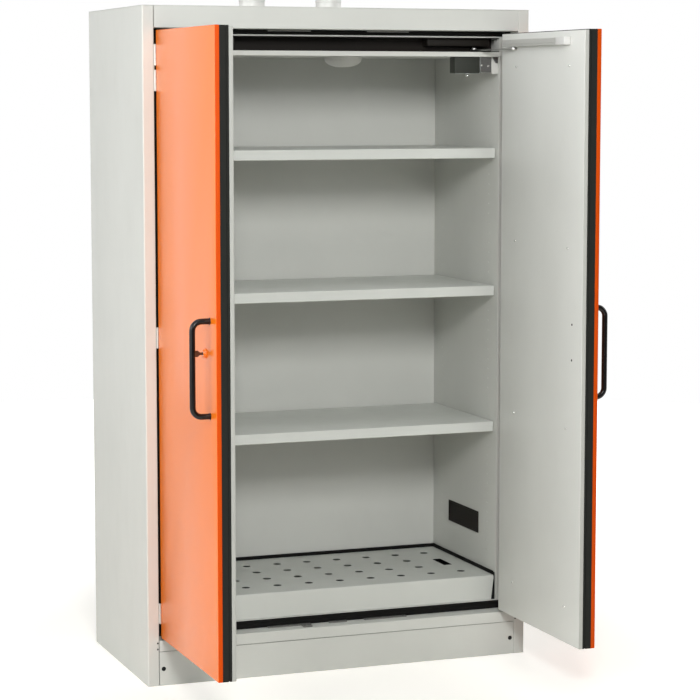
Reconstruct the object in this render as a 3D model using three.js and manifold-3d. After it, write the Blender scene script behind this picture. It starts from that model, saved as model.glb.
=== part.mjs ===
// Fire-resistant flammable storage cabinet with two hinged doors, shown with both doors open at 90 degrees.
// Millimetres. +Z up, the front faces -Y, +X to the right. Origin: centre of the footprint, on the floor.
import * as THREE from 'three';
import Module from 'manifold-3d';
import { mergeVertices } from 'three/addons/utils/BufferGeometryUtils.js';

// ---------------------------------------------------------------- driving dimensions
const W = 1193;            // overall width
const D = 600;             // overall depth, doors closed, without handles
const H = 1953;            // height of the body without the duct spigots
const SHEET = 2;           // outer sheet steel
const GAP = 0.3;           // assembly gap between touching pieces
const POST = 34;           // front post width
const PLINTH_H = 100;
const SILL_H = 133;        // top of the front sill
const HEADER_Z = 1889.5;   // underside of the header
const FRAME_Y = -247;      // front plane of the inner frame that the doors close on
const INNER_X = 525;       // half of the clear inner width
const INNER_BACK = 250;    // inner face of the back wall
const FLOOR_Z = 160;       // top of the inner floor
const CEIL_Z = 1815;       // underside of the ceiling
const LINER = 2;           // inner sheet
const CHANNEL_Z0 = 1829.3; // closer channel
const CHANNEL_Z1 = 1870.3;
const CHANNEL_BACK = -184;

const HINGE_X = 559;       // door hinge axis
const HINGE_Y = -301;
const BARREL_R = 3.2;
const HINGE_EDGE = 4.5;    // axis to the door's hinge edge
const DOOR_SET = 1;        // axis to the door's outer face
const DOOR_W = 552.5;
const DOOR_Z0 = 142.5;
const DOOR_Z1 = 1883;
const DOOR_T = 51;         // skin + seal band + inner pan
const SKIN_T = 12.5;       // depth of the coloured outer tray
const PAN_V = 39;          // where the grey inner pan starts
const DOOR_SHEET = 1.5;

const HANDLE_U = 494.5;    // handle leg line, from the hinge edge
const HANDLE_P = 48.5;     // bar centre to the door face
const HANDLE_R = 8;
const HANDLE_BEND = 25;
const HANDLE_Z0 = 853;     // leg centre heights
const HANDLE_Z1 = 1107;
const LOCK_U = 454.5;
const LOCK_Z = 1017;
const LOCK_P = 8;          // how far the lock barrel stands out from the door face

const RAIL_U0 = 46;
const RAIL_U1 = 462;
const RAIL_T = 20;
const RAIL_Z0 = 1841.5;
const RAIL_Z1 = 1862.5;
const SPINDLE = [460, -206];
const PIN_U = 104.5;       // slider position along the rail with the door open at 90 degrees
const ARM_Z0 = 1833;
const ARM_T = 4;

const SHELF_TOPS = [1542, 1126, 709.5];
const SHELF_LIP = 30;
const SHELF_Y0 = -226;
const SHELF_Y1 = 236;
const SHELF_X = 523;
const SUMP_TOP = 244;       // rim of the sump
const INSERT_TOP = 236;     // surface of the perforated insert, below the rim

const SPIGOT_X = 124;
const SPIGOT_Y = 150;
const SPIGOT_R = 39;
const SPIGOT_H = 58;

// ---------------------------------------------------------------- helpers
const wasm = await Module();
wasm.setup();
const root = new THREE.Group();
root.name = 'flammable_storage_cabinet';

const finish = {
  body: { color: 0xd0d2cd, roughness: 0.5, metalness: 0.0 },
  door: { color: 0xf05a14, roughness: 0.3, metalness: 0.0 },
  inner: { color: 0xc9cac5, roughness: 0.5, metalness: 0.0 },
  black: { color: 0x2b2c2b, roughness: 0.7, metalness: 0.0 },
  board: { color: 0xd8d4c8, roughness: 0.95, metalness: 0.0 },
  handle: { color: 0x1c1d1e, roughness: 0.35, metalness: 0.4 },
  steel: { color: 0xb8b8b4, roughness: 0.35, metalness: 0.9 },
  galv: { color: 0x8f928f, roughness: 0.45, metalness: 0.8 },
  white: { color: 0xe4e4e0, roughness: 0.5, metalness: 0.0 },
};
const mats = {};
function material(kind) {
  if (!mats[kind]) mats[kind] = new THREE.MeshStandardMaterial(finish[kind]);
  return mats[kind];
}
function add(parent, name, geometry, kind) {
  const mesh = new THREE.Mesh(geometry, material(kind).clone());
  mesh.name = name;
  parent.add(mesh);
  return mesh;
}
function box(x0, x1, y0, y1, z0, z1) {
  const a = [Math.min(x0, x1), Math.max(x0, x1)];
  const b = [Math.min(y0, y1), Math.max(y0, y1)];
  const g = new THREE.BoxGeometry(a[1] - a[0], b[1] - b[0], z1 - z0);
  g.translate((a[0] + a[1]) / 2, (b[0] + b[1]) / 2, (z0 + z1) / 2);
  return g;
}
function shapeOf(points, holes = []) {
  const s = new THREE.Shape(points.map((p) => new THREE.Vector2(p[0], p[1])));
  for (const h of holes) s.holes.push(new THREE.Path(h.map((p) => new THREE.Vector2(p[0], p[1]))));
  return s;
}
function extrude(shape, depth) {
  return new THREE.ExtrudeGeometry(shape, { depth, bevelEnabled: false, curveSegments: 12 });
}
// outline in X and Y, raised from z0 to z1
function prismZ(points, z0, z1, holes) {
  const g = extrude(shapeOf(points, holes), z1 - z0);
  g.translate(0, 0, z0);
  return g;
}
// outline in Y and Z, run from x0 to x1
function prismX(points, x0, x1, holes) {
  const g = extrude(shapeOf(points, holes), x1 - x0);
  g.applyMatrix4(new THREE.Matrix4().makeBasis(new THREE.Vector3(0, 1, 0), new THREE.Vector3(0, 0, 1), new THREE.Vector3(1, 0, 0)));
  g.translate(x0, 0, 0);
  return g;
}
// outline in X and Z, run from y0 to y1
function prismY(points, y0, y1, holes) {
  const g = extrude(shapeOf(points, holes), y1 - y0);
  g.applyMatrix4(new THREE.Matrix4().makeBasis(new THREE.Vector3(1, 0, 0), new THREE.Vector3(0, 0, 1), new THREE.Vector3(0, -1, 0)));
  g.translate(0, y1, 0);
  return g;
}
function rect(a0, a1, b0, b1) {
  return [[a0, b0], [a1, b0], [a1, b1], [a0, b1]];
}
function circle(cx, cy, r, n) {
  const out = [];
  for (let i = 0; i < n; i++) {
    const t = (2 * Math.PI * (i + 0.5)) / n;
    out.push([cx + r * Math.cos(t), cy + r * Math.sin(t)]);
  }
  return out;
}
function solid(geometry) {
  const g = geometry.clone();
  g.deleteAttribute('normal');
  g.deleteAttribute('uv');
  const m = mergeVertices(g, 1e-5);
  return new wasm.Manifold(new wasm.Mesh({
    numProp: 3,
    vertProperties: new Float32Array(m.attributes.position.array),
    triVerts: new Uint32Array(m.index.array),
  }));
}
function geometryOf(manifold) {
  const mesh = manifold.getMesh();
  const g = new THREE.BufferGeometry();
  const n = mesh.numProp;
  const count = mesh.vertProperties.length / n;
  const pos = new Float32Array(count * 3);
  for (let i = 0; i < count; i++) for (let k = 0; k < 3; k++) pos[3 * i + k] = mesh.vertProperties[n * i + k];
  g.setAttribute('position', new THREE.BufferAttribute(pos, 3));
  g.setIndex(new THREE.BufferAttribute(new Uint32Array(mesh.triVerts), 1));
  g.computeVertexNormals();
  return g;
}
function cut(base, ...tools) {
  let m = solid(base);
  for (const t of tools) m = m.subtract(solid(t));
  return geometryOf(m);
}
function join(base, ...others) {
  let m = solid(base);
  for (const t of others) m = m.add(solid(t));
  return geometryOf(m);
}
function cylinderZ(cx, cy, r, z0, z1, n = 16) {
  return prismZ(circle(cx, cy, r, n), z0, z1);
}
function cylinderX(cy, cz, r, x0, x1, n = 16) {
  return prismX(circle(cy, cz, r, n), Math.min(x0, x1), Math.max(x0, x1));
}

const X = W / 2;
const Y = D / 2;
const PX = X - POST;                 // inner edge of the posts
const SIDE_IN = X - SHEET;           // inner face of the side sheets
const RING_Y0 = FRAME_Y + 3;         // front face of the grey frame ring
const RING_Y1 = RING_Y0 + SHEET;

// ---------------------------------------------------------------- outer body
const body = new THREE.Group();
root.add(body);
for (const [side, s] of [['left', -1], ['right', 1]]) {
  const outline = [
    [X, Y], [X, -Y], [PX, -Y], [PX, RING_Y1], [PX + SHEET, RING_Y1], [PX + SHEET, -Y + SHEET], [SIDE_IN, -Y + SHEET], [SIDE_IN, Y],
  ].map(([x, y]) => [s * x, y]);
  add(body, `side_panel_${side}`, prismZ(outline, 0, H - SHEET - GAP), 'body');
}
add(body, 'back_panel', box(-SIDE_IN + GAP, SIDE_IN - GAP, Y - SHEET, Y, 0, H - SHEET - GAP), 'body');
add(body, 'top_panel', cut(box(-X, X, -Y, Y, H - SHEET, H),
  cylinderZ(-SPIGOT_X, SPIGOT_Y, SPIGOT_R - 1, H - 10, H + 10),
  cylinderZ(SPIGOT_X, SPIGOT_Y, SPIGOT_R - 1, H - 10, H + 10)), 'body');
add(body, 'header_fascia', prismX([
  [-Y, HEADER_Z], [RING_Y1, HEADER_Z], [RING_Y1, HEADER_Z + SHEET], [-Y + SHEET, HEADER_Z + SHEET],
  [-Y + SHEET, H - SHEET - GAP], [-Y, H - SHEET - GAP],
], -PX + GAP, PX - GAP), 'body');
add(body, 'sill', prismX([
  [-Y, PLINTH_H + 0.4], [-Y + SHEET, PLINTH_H + 0.4], [-Y + SHEET, SILL_H - SHEET], [RING_Y1, SILL_H - SHEET],
  [RING_Y1, SILL_H], [-Y, SILL_H],
], -PX + GAP, PX - GAP), 'body');
add(body, 'plinth_panel', prismY(rect(-PX + GAP, PX - GAP, 0, PLINTH_H), -Y, -Y + SHEET,
  [circle(-549.5, 49.5, 6, 12), circle(549.5, 49.5, 6, 12)]), 'body');
add(body, 'base_pan', cut(prismX([
  [-Y + SHEET + GAP, 0], [Y - SHEET - GAP, 0], [Y - SHEET - GAP, 3], [263, 3], [263, PLINTH_H], [259, PLINTH_H], [259, 3],
  [2, 3], [2, PLINTH_H], [-2, PLINTH_H], [-2, 3], [-255, 3], [-255, PLINTH_H], [-259, PLINTH_H], [-259, 3], [-Y + SHEET + GAP, 3],
], -SIDE_IN + GAP, SIDE_IN - GAP),
  box(-X, -PX + GAP, -Y, RING_Y1 + 0.5, -10, H),
  box(PX - GAP, X, -Y, RING_Y1 + 0.5, -10, H)), 'galv');

// ---------------------------------------------------------------- fire insulation between the shells
const IN_X = INNER_X + LINER + 0.4;
for (const [side, s] of [['left', -1], ['right', 1]]) {
  add(body, `insulation_${side}`, box(s * IN_X, s * (SIDE_IN - GAP), RING_Y1 + 0.6, Y - SHEET - GAP, PLINTH_H + 0.4, H - SHEET - 0.6), 'board');
}
add(body, 'insulation_back', box(-IN_X + 0.4, IN_X - 0.4, INNER_BACK + LINER + 0.4, Y - SHEET - GAP, PLINTH_H + 0.4, H - SHEET - 0.6), 'board');
add(body, 'insulation_bottom', box(-IN_X + 0.4, IN_X - 0.4, RING_Y1 + 0.6, INNER_BACK + LINER + 0.1, PLINTH_H + 0.4, FLOOR_Z - LINER - 0.4), 'board');
add(body, 'insulation_top', cut(prismX([
  [RING_Y1 + 0.6, CHANNEL_Z1 + 0.3], [CHANNEL_BACK + 0.3, CHANNEL_Z1 + 0.3], [CHANNEL_BACK + 0.3, CEIL_Z + LINER + 0.4],
  [INNER_BACK + LINER + 0.1, CEIL_Z + LINER + 0.4], [INNER_BACK + LINER + 0.1, H - SHEET - 0.6], [RING_Y1 + 0.6, H - SHEET - 0.6],
], -INNER_X + GAP, INNER_X - GAP),
  cylinderZ(-SPIGOT_X, SPIGOT_Y, SPIGOT_R - 1, CEIL_Z - 10, H + 10),
  cylinderZ(SPIGOT_X, SPIGOT_Y, SPIGOT_R - 1, CEIL_Z - 10, H + 10)), 'board');

// ---------------------------------------------------------------- inner frame and liner
add(body, 'frame_ring', prismY(rect(-PX + GAP, PX - GAP, SILL_H + GAP, HEADER_Z - GAP), RING_Y0, RING_Y1,
  [rect(-IN_X, IN_X, FLOOR_Z - LINER - 0.3, CHANNEL_Z1 + 0.5)]), 'inner');
add(body, 'frame_seal', prismY(rect(-PX + 2, PX - 2, SILL_H + 0.8, HEADER_Z - 0.6), FRAME_Y, RING_Y0 - 0.2,
  [rect(-536, 536, FLOOR_Z - LINER - 0.3, 1875)]), 'black');
for (const [side, s] of [['left', -1], ['right', 1]]) {
  add(body, `liner_${side}`, box(s * INNER_X, s * (INNER_X + LINER), FRAME_Y + 0.5, INNER_BACK + LINER, FLOOR_Z + GAP, CHANNEL_Z1), 'inner');
}
add(body, 'liner_back', box(-INNER_X + GAP, INNER_X - GAP, INNER_BACK, INNER_BACK + LINER, FLOOR_Z + GAP, CEIL_Z - GAP), 'inner');
add(body, 'liner_floor', box(-INNER_X - LINER, INNER_X + LINER, FRAME_Y + 0.5, INNER_BACK + LINER, FLOOR_Z - LINER, FLOOR_Z), 'inner');
add(body, 'liner_ceiling', cut(prismX([
  [FRAME_Y + 0.5, CEIL_Z], [INNER_BACK + LINER, CEIL_Z], [INNER_BACK + LINER, CEIL_Z + LINER],
  [FRAME_Y + 0.5 + LINER, CEIL_Z + LINER], [FRAME_Y + 0.5 + LINER, CHANNEL_Z0 - GAP], [FRAME_Y + 0.5, CHANNEL_Z0 - GAP],
], -INNER_X + GAP, INNER_X - GAP),
  cylinderZ(-SPIGOT_X, SPIGOT_Y, SPIGOT_R - 2, CEIL_Z - 10, CEIL_Z + 10),
  cylinderZ(SPIGOT_X, SPIGOT_Y, SPIGOT_R - 2, CEIL_Z - 10, CEIL_Z + 10)), 'inner');
add(body, 'closer_channel', prismX([
  [FRAME_Y + 0.5, CHANNEL_Z0], [CHANNEL_BACK, CHANNEL_Z0], [CHANNEL_BACK, CHANNEL_Z1], [FRAME_Y + 0.5, CHANNEL_Z1],
  [FRAME_Y + 0.5, CHANNEL_Z1 - 2], [CHANNEL_BACK - 2, CHANNEL_Z1 - 2], [CHANNEL_BACK - 2, CHANNEL_Z0 + 2], [FRAME_Y + 0.5, CHANNEL_Z0 + 2],
], -INNER_X + GAP, INNER_X - GAP), 'black');

// ---------------------------------------------------------------- fittings on the body
const keeperHole = [-(HINGE_X - HINGE_EDGE) + LOCK_U, HINGE_Y + DOOR_SET + 25.7];
for (const [name, x0, x1] of [['keeper_left', -216, -81], ['keeper_centre', -24, 33], ['keeper_right', 89, 225]]) {
  let g = box(x0, x1, -262, FRAME_Y - GAP, SILL_H + GAP, SILL_H + GAP + 3);
  if (name === 'keeper_left') {
    g = join(g, box(keeperHole[0] - 14, keeperHole[0] + 14, keeperHole[1] - 13, -261, SILL_H + GAP, SILL_H + GAP + 3));
    g = cut(g, cylinderZ(keeperHole[0], keeperHole[1], 6, SILL_H - 5, SILL_H + 10, 12));
  }
  add(body, name, g, 'galv');
}
const dome = new THREE.LatheGeometry([
  [0, 0], [57.5, 0], [57.5, -7], [52, -12], [44, -20], [30, -27], [14, -30], [0, -30],
].map((p) => new THREE.Vector2(p[0], p[1])).reverse(), 24);
dome.rotateX(Math.PI / 2);
const detector = add(body, 'smoke_detector', dome, 'white');
detector.position.set(116, 0, CEIL_Z - GAP);
add(body, 'vent_grille', box(INNER_X - GAP - 2.4, INNER_X - GAP, -113, 120, 344, 411), 'black');
add(body, 'release_unit', join(
  box(384, 465, -238, -198, 1766, CEIL_Z - GAP),
  box(464, 504, -236, -231, 1772, CEIL_Z - GAP),
  box(503, 523.5, -238, -214, 1764, CEIL_Z - GAP)), 'galv');
for (const [name, x] of [['exhaust_spigot', -SPIGOT_X], ['supply_spigot', SPIGOT_X]]) {
  const r = SPIGOT_R;
  const g = new THREE.LatheGeometry([
    [r - 2, 0], [r + 12, 0], [r + 12, 2], [r, 2], [r, SPIGOT_H], [r - 2, SPIGOT_H], [r - 2, 0],
  ].map((p) => new THREE.Vector2(p[0], p[1])), 24);
  g.rotateX(Math.PI / 2);
  const m = add(body, name, g, 'white');
  m.position.set(x, SPIGOT_Y, H + GAP);
}
for (const [side, s] of [['left', -1], ['right', 1]]) {
  const bx = s * SPINDLE[0];
  add(body, `closer_body_${side}`, join(
    box(s * 300, s * 500, -226, -188, 1846, 1867.5),
    cylinderZ(bx, SPINDLE[1], 9, ARM_Z0 + ARM_T + 5, 1850, 12)), 'black');
}
// hinge knuckles with the leaf that is welded inside the post
function hinge(s, knuckles, z0, z1) {
  const leaf = prismZ(rect(2.0, 3.2, 1.2, 30).map(([x, y]) => [s * x, y]), z0, z1);
  const round = knuckles.map(([a, b]) => cylinderZ(0, 0, BARREL_R, a, b, 12));
  return join(leaf, ...round);
}
for (const [side, s] of [['left', -1], ['right', 1]]) {
  const g = new THREE.Group();
  g.position.set(s * HINGE_X, HINGE_Y, 0);
  body.add(g);
  add(g, `hinge_${side}_top`, hinge(s, [[1712, 1772], [1784, 1844]], 1712, 1844), 'steel');
  add(g, `hinge_${side}_middle`, hinge(s, [[983.5, 1043.5]], 983.5, 1043.5), 'steel');
  add(g, `hinge_${side}_bottom`, hinge(s, [[183, 243]], 183, 243), 'steel');
}

// ---------------------------------------------------------------- doors, at rest open by 90 degrees
// v: depth from the outer face towards the inner face. u: along the door from its hinge edge.
function doorBox(s, v0, v1, u0, u1, z0, z1) {
  return box(-s * (DOOR_SET + v0), -s * (DOOR_SET + v1), -(HINGE_EDGE + u1), -(HINGE_EDGE + u0), z0, z1);
}
for (const [side, s] of [['left', -1], ['right', 1]]) {
  const door = new THREE.Group();
  door.position.set(s * HINGE_X, HINGE_Y, 0);
  root.add(door);
  const t = DOOR_SHEET;
  const lock = side === 'left';
  const lockY = -(HINGE_EDGE + LOCK_U);
  const rodX = -s * (DOOR_SET + 25.7);
  // outer tray
  let skin = cut(doorBox(s, 0, SKIN_T, 0, DOOR_W, DOOR_Z0, DOOR_Z1), doorBox(s, t, SKIN_T + 5, t, DOOR_W - t, DOOR_Z0 + t, DOOR_Z1 - t));
  if (lock) skin = cut(skin, cylinderX(lockY, LOCK_Z, 11, -s * -5, -s * 10, 16));
  add(door, `door_skin_${side}`, skin, 'door');
  // insulating core
  let core = doorBox(s, t + 0.3, DOOR_T - t - 0.8, 3.9, DOOR_W - 3.9, DOOR_Z0 + 3.9, DOOR_Z1 - 3.9);
  if (lock) {
    core = cut(core,
      cylinderX(lockY, LOCK_Z, 11, 0, -s * 42, 16),
      cylinderZ(rodX, lockY, 5.5, DOOR_Z0, LOCK_Z, 10));
  }
  add(door, `door_core_${side}`, core, 'board');
  // inner pan
  add(door, `door_inner_pan_${side}`, cut(doorBox(s, PAN_V, DOOR_T, 0, DOOR_W, DOOR_Z0, DOOR_Z1),
    doorBox(s, PAN_V - 5, DOOR_T - t, t, DOOR_W - t, DOOR_Z0 + t, DOOR_Z1 - t)), 'inner');
  // edge seal between both trays
  let seal = cut(doorBox(s, SKIN_T + 0.3, PAN_V - 0.3, 0.4, DOOR_W - 0.4, DOOR_Z0 + 0.4, DOOR_Z1 - 0.4),
    doorBox(s, SKIN_T - 5, PAN_V + 5, 3.6, DOOR_W - 3.6, DOOR_Z0 + 3.6, DOOR_Z1 - 3.6));
  if (lock) seal = cut(seal, cylinderZ(rodX, lockY, 5.5, DOOR_Z0 - 5, DOOR_Z0 + 6, 10));
  add(door, `door_edge_seal_${side}`, seal, 'black');
  // bow handle
  class Bow extends THREE.Curve {
    constructor() {
      super();
      const x0 = 0.3;
      const pts = [];
      const leg = HANDLE_P - HANDLE_BEND;
      pts.push([x0, HANDLE_Z0], [leg * 0.5, HANDLE_Z0]);
      for (let i = 0; i <= 5; i++) {
        const a = (Math.PI / 2) * (i / 5);
        pts.push([leg + HANDLE_BEND * Math.sin(a), HANDLE_Z0 + HANDLE_BEND * (1 - Math.cos(a))]);
      }
      pts.push([HANDLE_P, (HANDLE_Z0 + HANDLE_Z1) / 2]);
      for (let i = 5; i >= 0; i--) {
        const a = (Math.PI / 2) * (i / 5);
        pts.push([leg + HANDLE_BEND * Math.sin(a), HANDLE_Z1 - HANDLE_BEND * (1 - Math.cos(a))]);
      }
      pts.push([leg * 0.5, HANDLE_Z1], [x0, HANDLE_Z1]);
      this.pts = pts;
    }
    getPoint(k, target = new THREE.Vector3()) {
      const n = this.pts.length - 1;
      const f = Math.min(n, Math.max(0, k * n));
      const i = Math.min(n - 1, Math.floor(f));
      const w = f - i;
      const a = this.pts[i];
      const b = this.pts[i + 1];
      return target.set(s * (-DOOR_SET + a[0] + (b[0] - a[0]) * w), -(HINGE_EDGE + HANDLE_U), a[1] + (b[1] - a[1]) * w);
    }
    getPointAt(k, target) { return this.getPoint(k, target); }
    getTangent(k, target = new THREE.Vector3()) {
      const e = 0.5 / (this.pts.length - 1);
      const a = this.getPoint(Math.max(0, k - e));
      const b = this.getPoint(Math.min(1, k + e));
      return target.copy(b.sub(a)).normalize();
    }
    getTangentAt(k, target) { return this.getTangent(k, target); }
    getSpacedPoints(n) { return this.getPoints(n); }
  }
  const bow = new Bow();
  const section = shapeOf(circle(0, 0, HANDLE_R, 10));
  add(door, `handle_${side}`, new THREE.ExtrudeGeometry(section, { steps: bow.pts.length - 1, bevelEnabled: false, extrudePath: bow }), 'handle');
  // closer slide rail on the inner face, open downwards
  const v0 = DOOR_T + GAP;
  const v1 = v0 + RAIL_T;
  const railPts = [[v0, RAIL_Z0], [v0 + 5.5, RAIL_Z0], [v0 + 5.5, RAIL_Z1 - 5], [v1 - 5.5, RAIL_Z1 - 5], [v1 - 5.5, RAIL_Z0], [v1, RAIL_Z0], [v1, RAIL_Z1], [v0, RAIL_Z1]];
  add(door, `closer_rail_${side}`, prismY(railPts.map(([v, z]) => [-s * (DOOR_SET + v), z]), -(HINGE_EDGE + RAIL_U1), -(HINGE_EDGE + RAIL_U0)), 'steel');
  if (lock) {
    // lock housing through the skin and the core, with the turning plug, key and locking rod
    const lx = (v) => -s * (DOOR_SET + v);
    let housing = join(cylinderX(lockY, LOCK_Z, 10.6, lx(-LOCK_P), lx(20), 20), cylinderX(lockY, LOCK_Z, 13.5, lx(-2.9), lx(-0.4), 20));
    housing = cut(housing, cylinderX(lockY, LOCK_Z, 6.2, lx(-LOCK_P - 5), lx(30), 12));
    add(door, 'lock_housing', housing, 'steel');
    let plug = cylinderX(lockY, LOCK_Z, 5.8, lx(-LOCK_P + 0.4), lx(33), 12);
    plug = cut(plug, box(lx(-LOCK_P - 5), lx(12), lockY - 1.3, lockY + 1.3, LOCK_Z - 4.2, LOCK_Z + 4.2));
    add(door, 'lock_plug', plug, 'steel');
    const blade = box(lx(-LOCK_P - 9), lx(11.5), lockY - 1, lockY + 1, LOCK_Z - 3.8, LOCK_Z + 3.8);
    const bowShape = prismY(circle(lx(-LOCK_P - 19), LOCK_Z, 11.5, 14), lockY - 1.2, lockY + 1.2, [circle(lx(-LOCK_P - 25), LOCK_Z, 2.8, 8)]);
    add(door, 'key', join(bowShape, blade), 'galv');
    const rod = cylinderZ(rodX, lockY, 4, DOOR_Z0 + 1, LOCK_Z - 14, 10);
    add(door, 'lock_rod', rod, 'steel');
  }
}

// ---------------------------------------------------------------- closer arms
const RAIL_V = DOOR_SET + DOOR_T + GAP + RAIL_T / 2;
for (const [side, s] of [['left', -1], ['right', 1]]) {
  const px = HINGE_X - RAIL_V - SPINDLE[0];
  const py = HINGE_Y - HINGE_EDGE - PIN_U - SPINDLE[1];
  const len = Math.hypot(px, py);
  const arm = new THREE.Group();
  arm.position.set(s * SPINDLE[0], SPINDLE[1], 0);
  arm.rotation.z = Math.atan2(py, s * px);
  root.add(arm);
  const pts = [];
  for (let i = 0; i <= 6; i++) { const a = Math.PI / 2 + (Math.PI * i) / 6; pts.push([12 * Math.cos(a), 12 * Math.sin(a)]); }
  for (let i = 0; i <= 6; i++) { const a = -Math.PI / 2 + (Math.PI * i) / 6; pts.push([len + 8 * Math.cos(a), 8 * Math.sin(a)]); }
  add(arm, `closer_arm_${side}`, join(
    prismZ(pts, ARM_Z0, ARM_Z0 + ARM_T),
    cylinderZ(0, 0, 8, ARM_Z0 + 1, ARM_Z0 + ARM_T + 4.6, 12),
    cylinderZ(len, 0, 7, ARM_Z0 + 1, RAIL_Z0 - 0.6, 12)), 'steel');
}

// ---------------------------------------------------------------- shelves, spill sump and its insert
SHELF_TOPS.forEach((top, i) => {
  const shelf = new THREE.Group();
  shelf.position.set(0, 0, top);
  root.add(shelf);
  const t = 2;
  add(shelf, `shelf_${i + 1}`, prismX([
    [SHELF_Y0, -SHELF_LIP], [SHELF_Y0 + t, -SHELF_LIP], [SHELF_Y0 + t, -t], [SHELF_Y1 - t, -t], [SHELF_Y1 - t, -SHELF_LIP],
    [SHELF_Y1, -SHELF_LIP], [SHELF_Y1, 0], [SHELF_Y0, 0],
  ], -SHELF_X, SHELF_X), 'inner');
});
const SUMP_X = 523.5;
add(root, 'spill_sump', cut(box(-SUMP_X, SUMP_X, -240.5, 246, FLOOR_Z + GAP, SUMP_TOP),
  box(-SUMP_X + 2, SUMP_X - 2, -238.5, 244, FLOOR_Z + GAP + 2, SUMP_TOP + 20),
  box(-SUMP_X + 2, SUMP_X - 2, -260, -230, INSERT_TOP - 2.5, SUMP_TOP + 20)), 'black');
const insertFront = prismY([[-519, INSERT_TOP - 3], [-511, FLOOR_Z + 1], [511, FLOOR_Z + 1], [519, INSERT_TOP - 3]], -243.2, -241.2);
add(root, 'perforated_insert', join(insertFront, prismX([
  [-243.2, INSERT_TOP - 3], [-241.2, INSERT_TOP - 3], [-241.2, INSERT_TOP - 2],
  [240, INSERT_TOP - 2], [240, FLOOR_Z + 3], [242, FLOOR_Z + 3], [242, INSERT_TOP], [-243.2, INSERT_TOP],
], -519, 519)), 'inner');

export default root;
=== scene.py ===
import math

import bmesh
import bpy
from mathutils import Matrix, Vector


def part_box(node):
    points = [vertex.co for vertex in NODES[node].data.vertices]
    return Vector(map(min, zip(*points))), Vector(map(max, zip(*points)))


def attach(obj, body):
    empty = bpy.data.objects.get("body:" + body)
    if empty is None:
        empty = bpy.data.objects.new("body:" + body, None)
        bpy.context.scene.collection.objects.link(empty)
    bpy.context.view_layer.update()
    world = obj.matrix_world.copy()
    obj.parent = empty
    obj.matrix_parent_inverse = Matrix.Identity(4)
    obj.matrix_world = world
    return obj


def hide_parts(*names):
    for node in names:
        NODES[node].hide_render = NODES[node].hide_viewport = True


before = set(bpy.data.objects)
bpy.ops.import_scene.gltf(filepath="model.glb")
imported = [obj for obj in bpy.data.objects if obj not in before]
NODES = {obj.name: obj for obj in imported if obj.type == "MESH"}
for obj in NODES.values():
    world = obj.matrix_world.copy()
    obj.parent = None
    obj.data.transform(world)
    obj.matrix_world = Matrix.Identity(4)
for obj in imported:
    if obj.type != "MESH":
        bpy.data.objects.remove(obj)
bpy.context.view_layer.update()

MM = 0.001
COL = bpy.context.scene.collection


def B(node):
    """x0, x1, y0, y1, z0, z1 of a CAD node, in millimetres."""
    lo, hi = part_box(node)
    return lo.x / MM, hi.x / MM, lo.y / MM, hi.y / MM, lo.z / MM, hi.z / MM


# ------------------------------------------------------------------ material helpers
def new_mat(name):
    m = bpy.data.materials.new(name)
    m.use_nodes = True
    nt = m.node_tree
    bsdf = nt.nodes["Principled BSDF"]
    return m, nt, bsdf


def node(nt, kind, **values):
    n = nt.nodes.new(kind)
    for k, v in values.items():
        setattr(n, k, v)
    return n


def obj_coords(nt, scale=(1, 1, 1)):
    tc = node(nt, "ShaderNodeTexCoord")
    mp = node(nt, "ShaderNodeMapping")
    mp.inputs["Scale"].default_value = scale
    nt.links.new(tc.outputs["Object"], mp.inputs["Vector"])
    return mp.outputs["Vector"]


def noise(nt, vec, scale, detail=2.0, rough=0.5):
    n = node(nt, "ShaderNodeTexNoise")
    n.inputs["Scale"].default_value = scale
    n.inputs["Detail"].default_value = detail
    n.inputs["Roughness"].default_value = rough
    nt.links.new(vec, n.inputs["Vector"])
    return n.outputs["Fac"]


def ramp(nt, fac, stops):
    r = node(nt, "ShaderNodeValToRGB")
    els = r.color_ramp.elements
    while len(els) < len(stops):
        els.new(0.5)
    for e, (p, c) in zip(els, stops):
        e.position = p
        e.color = tuple(c) + (1.0,) if len(c) == 3 else c
    nt.links.new(fac, r.inputs["Fac"])
    return r.outputs["Color"]


def remap(nt, fac, a, b, c, d):
    m = node(nt, "ShaderNodeMapRange")
    m.inputs["From Min"].default_value = a
    m.inputs["From Max"].default_value = b
    m.inputs["To Min"].default_value = c
    m.inputs["To Max"].default_value = d
    nt.links.new(fac, m.inputs["Value"])
    return m.outputs["Result"]


def mixc(nt, fac, a, b, mode="MIX"):
    m = node(nt, "ShaderNodeMix", data_type="RGBA", blend_type=mode)
    for sock, val in ((m.inputs["Factor"], fac), (m.inputs[6], a), (m.inputs[7], b)):
        if isinstance(val, (int, float)):
            sock.default_value = val
        elif isinstance(val, (tuple, list)):
            sock.default_value = tuple(val) + (1.0,)
        else:
            nt.links.new(val, sock)
    return m.outputs[2]


def bump(nt, height, distance, strength=1.0, normal=None):
    b = node(nt, "ShaderNodeBump")
    b.inputs["Strength"].default_value = strength
    b.inputs["Distance"].default_value = distance
    nt.links.new(height, b.inputs["Height"])
    if normal is not None:
        nt.links.new(normal, b.inputs["Normal"])
    return b.outputs["Normal"]


def shade(c, k):
    return tuple(min(1.0, x * k) for x in c)


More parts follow.
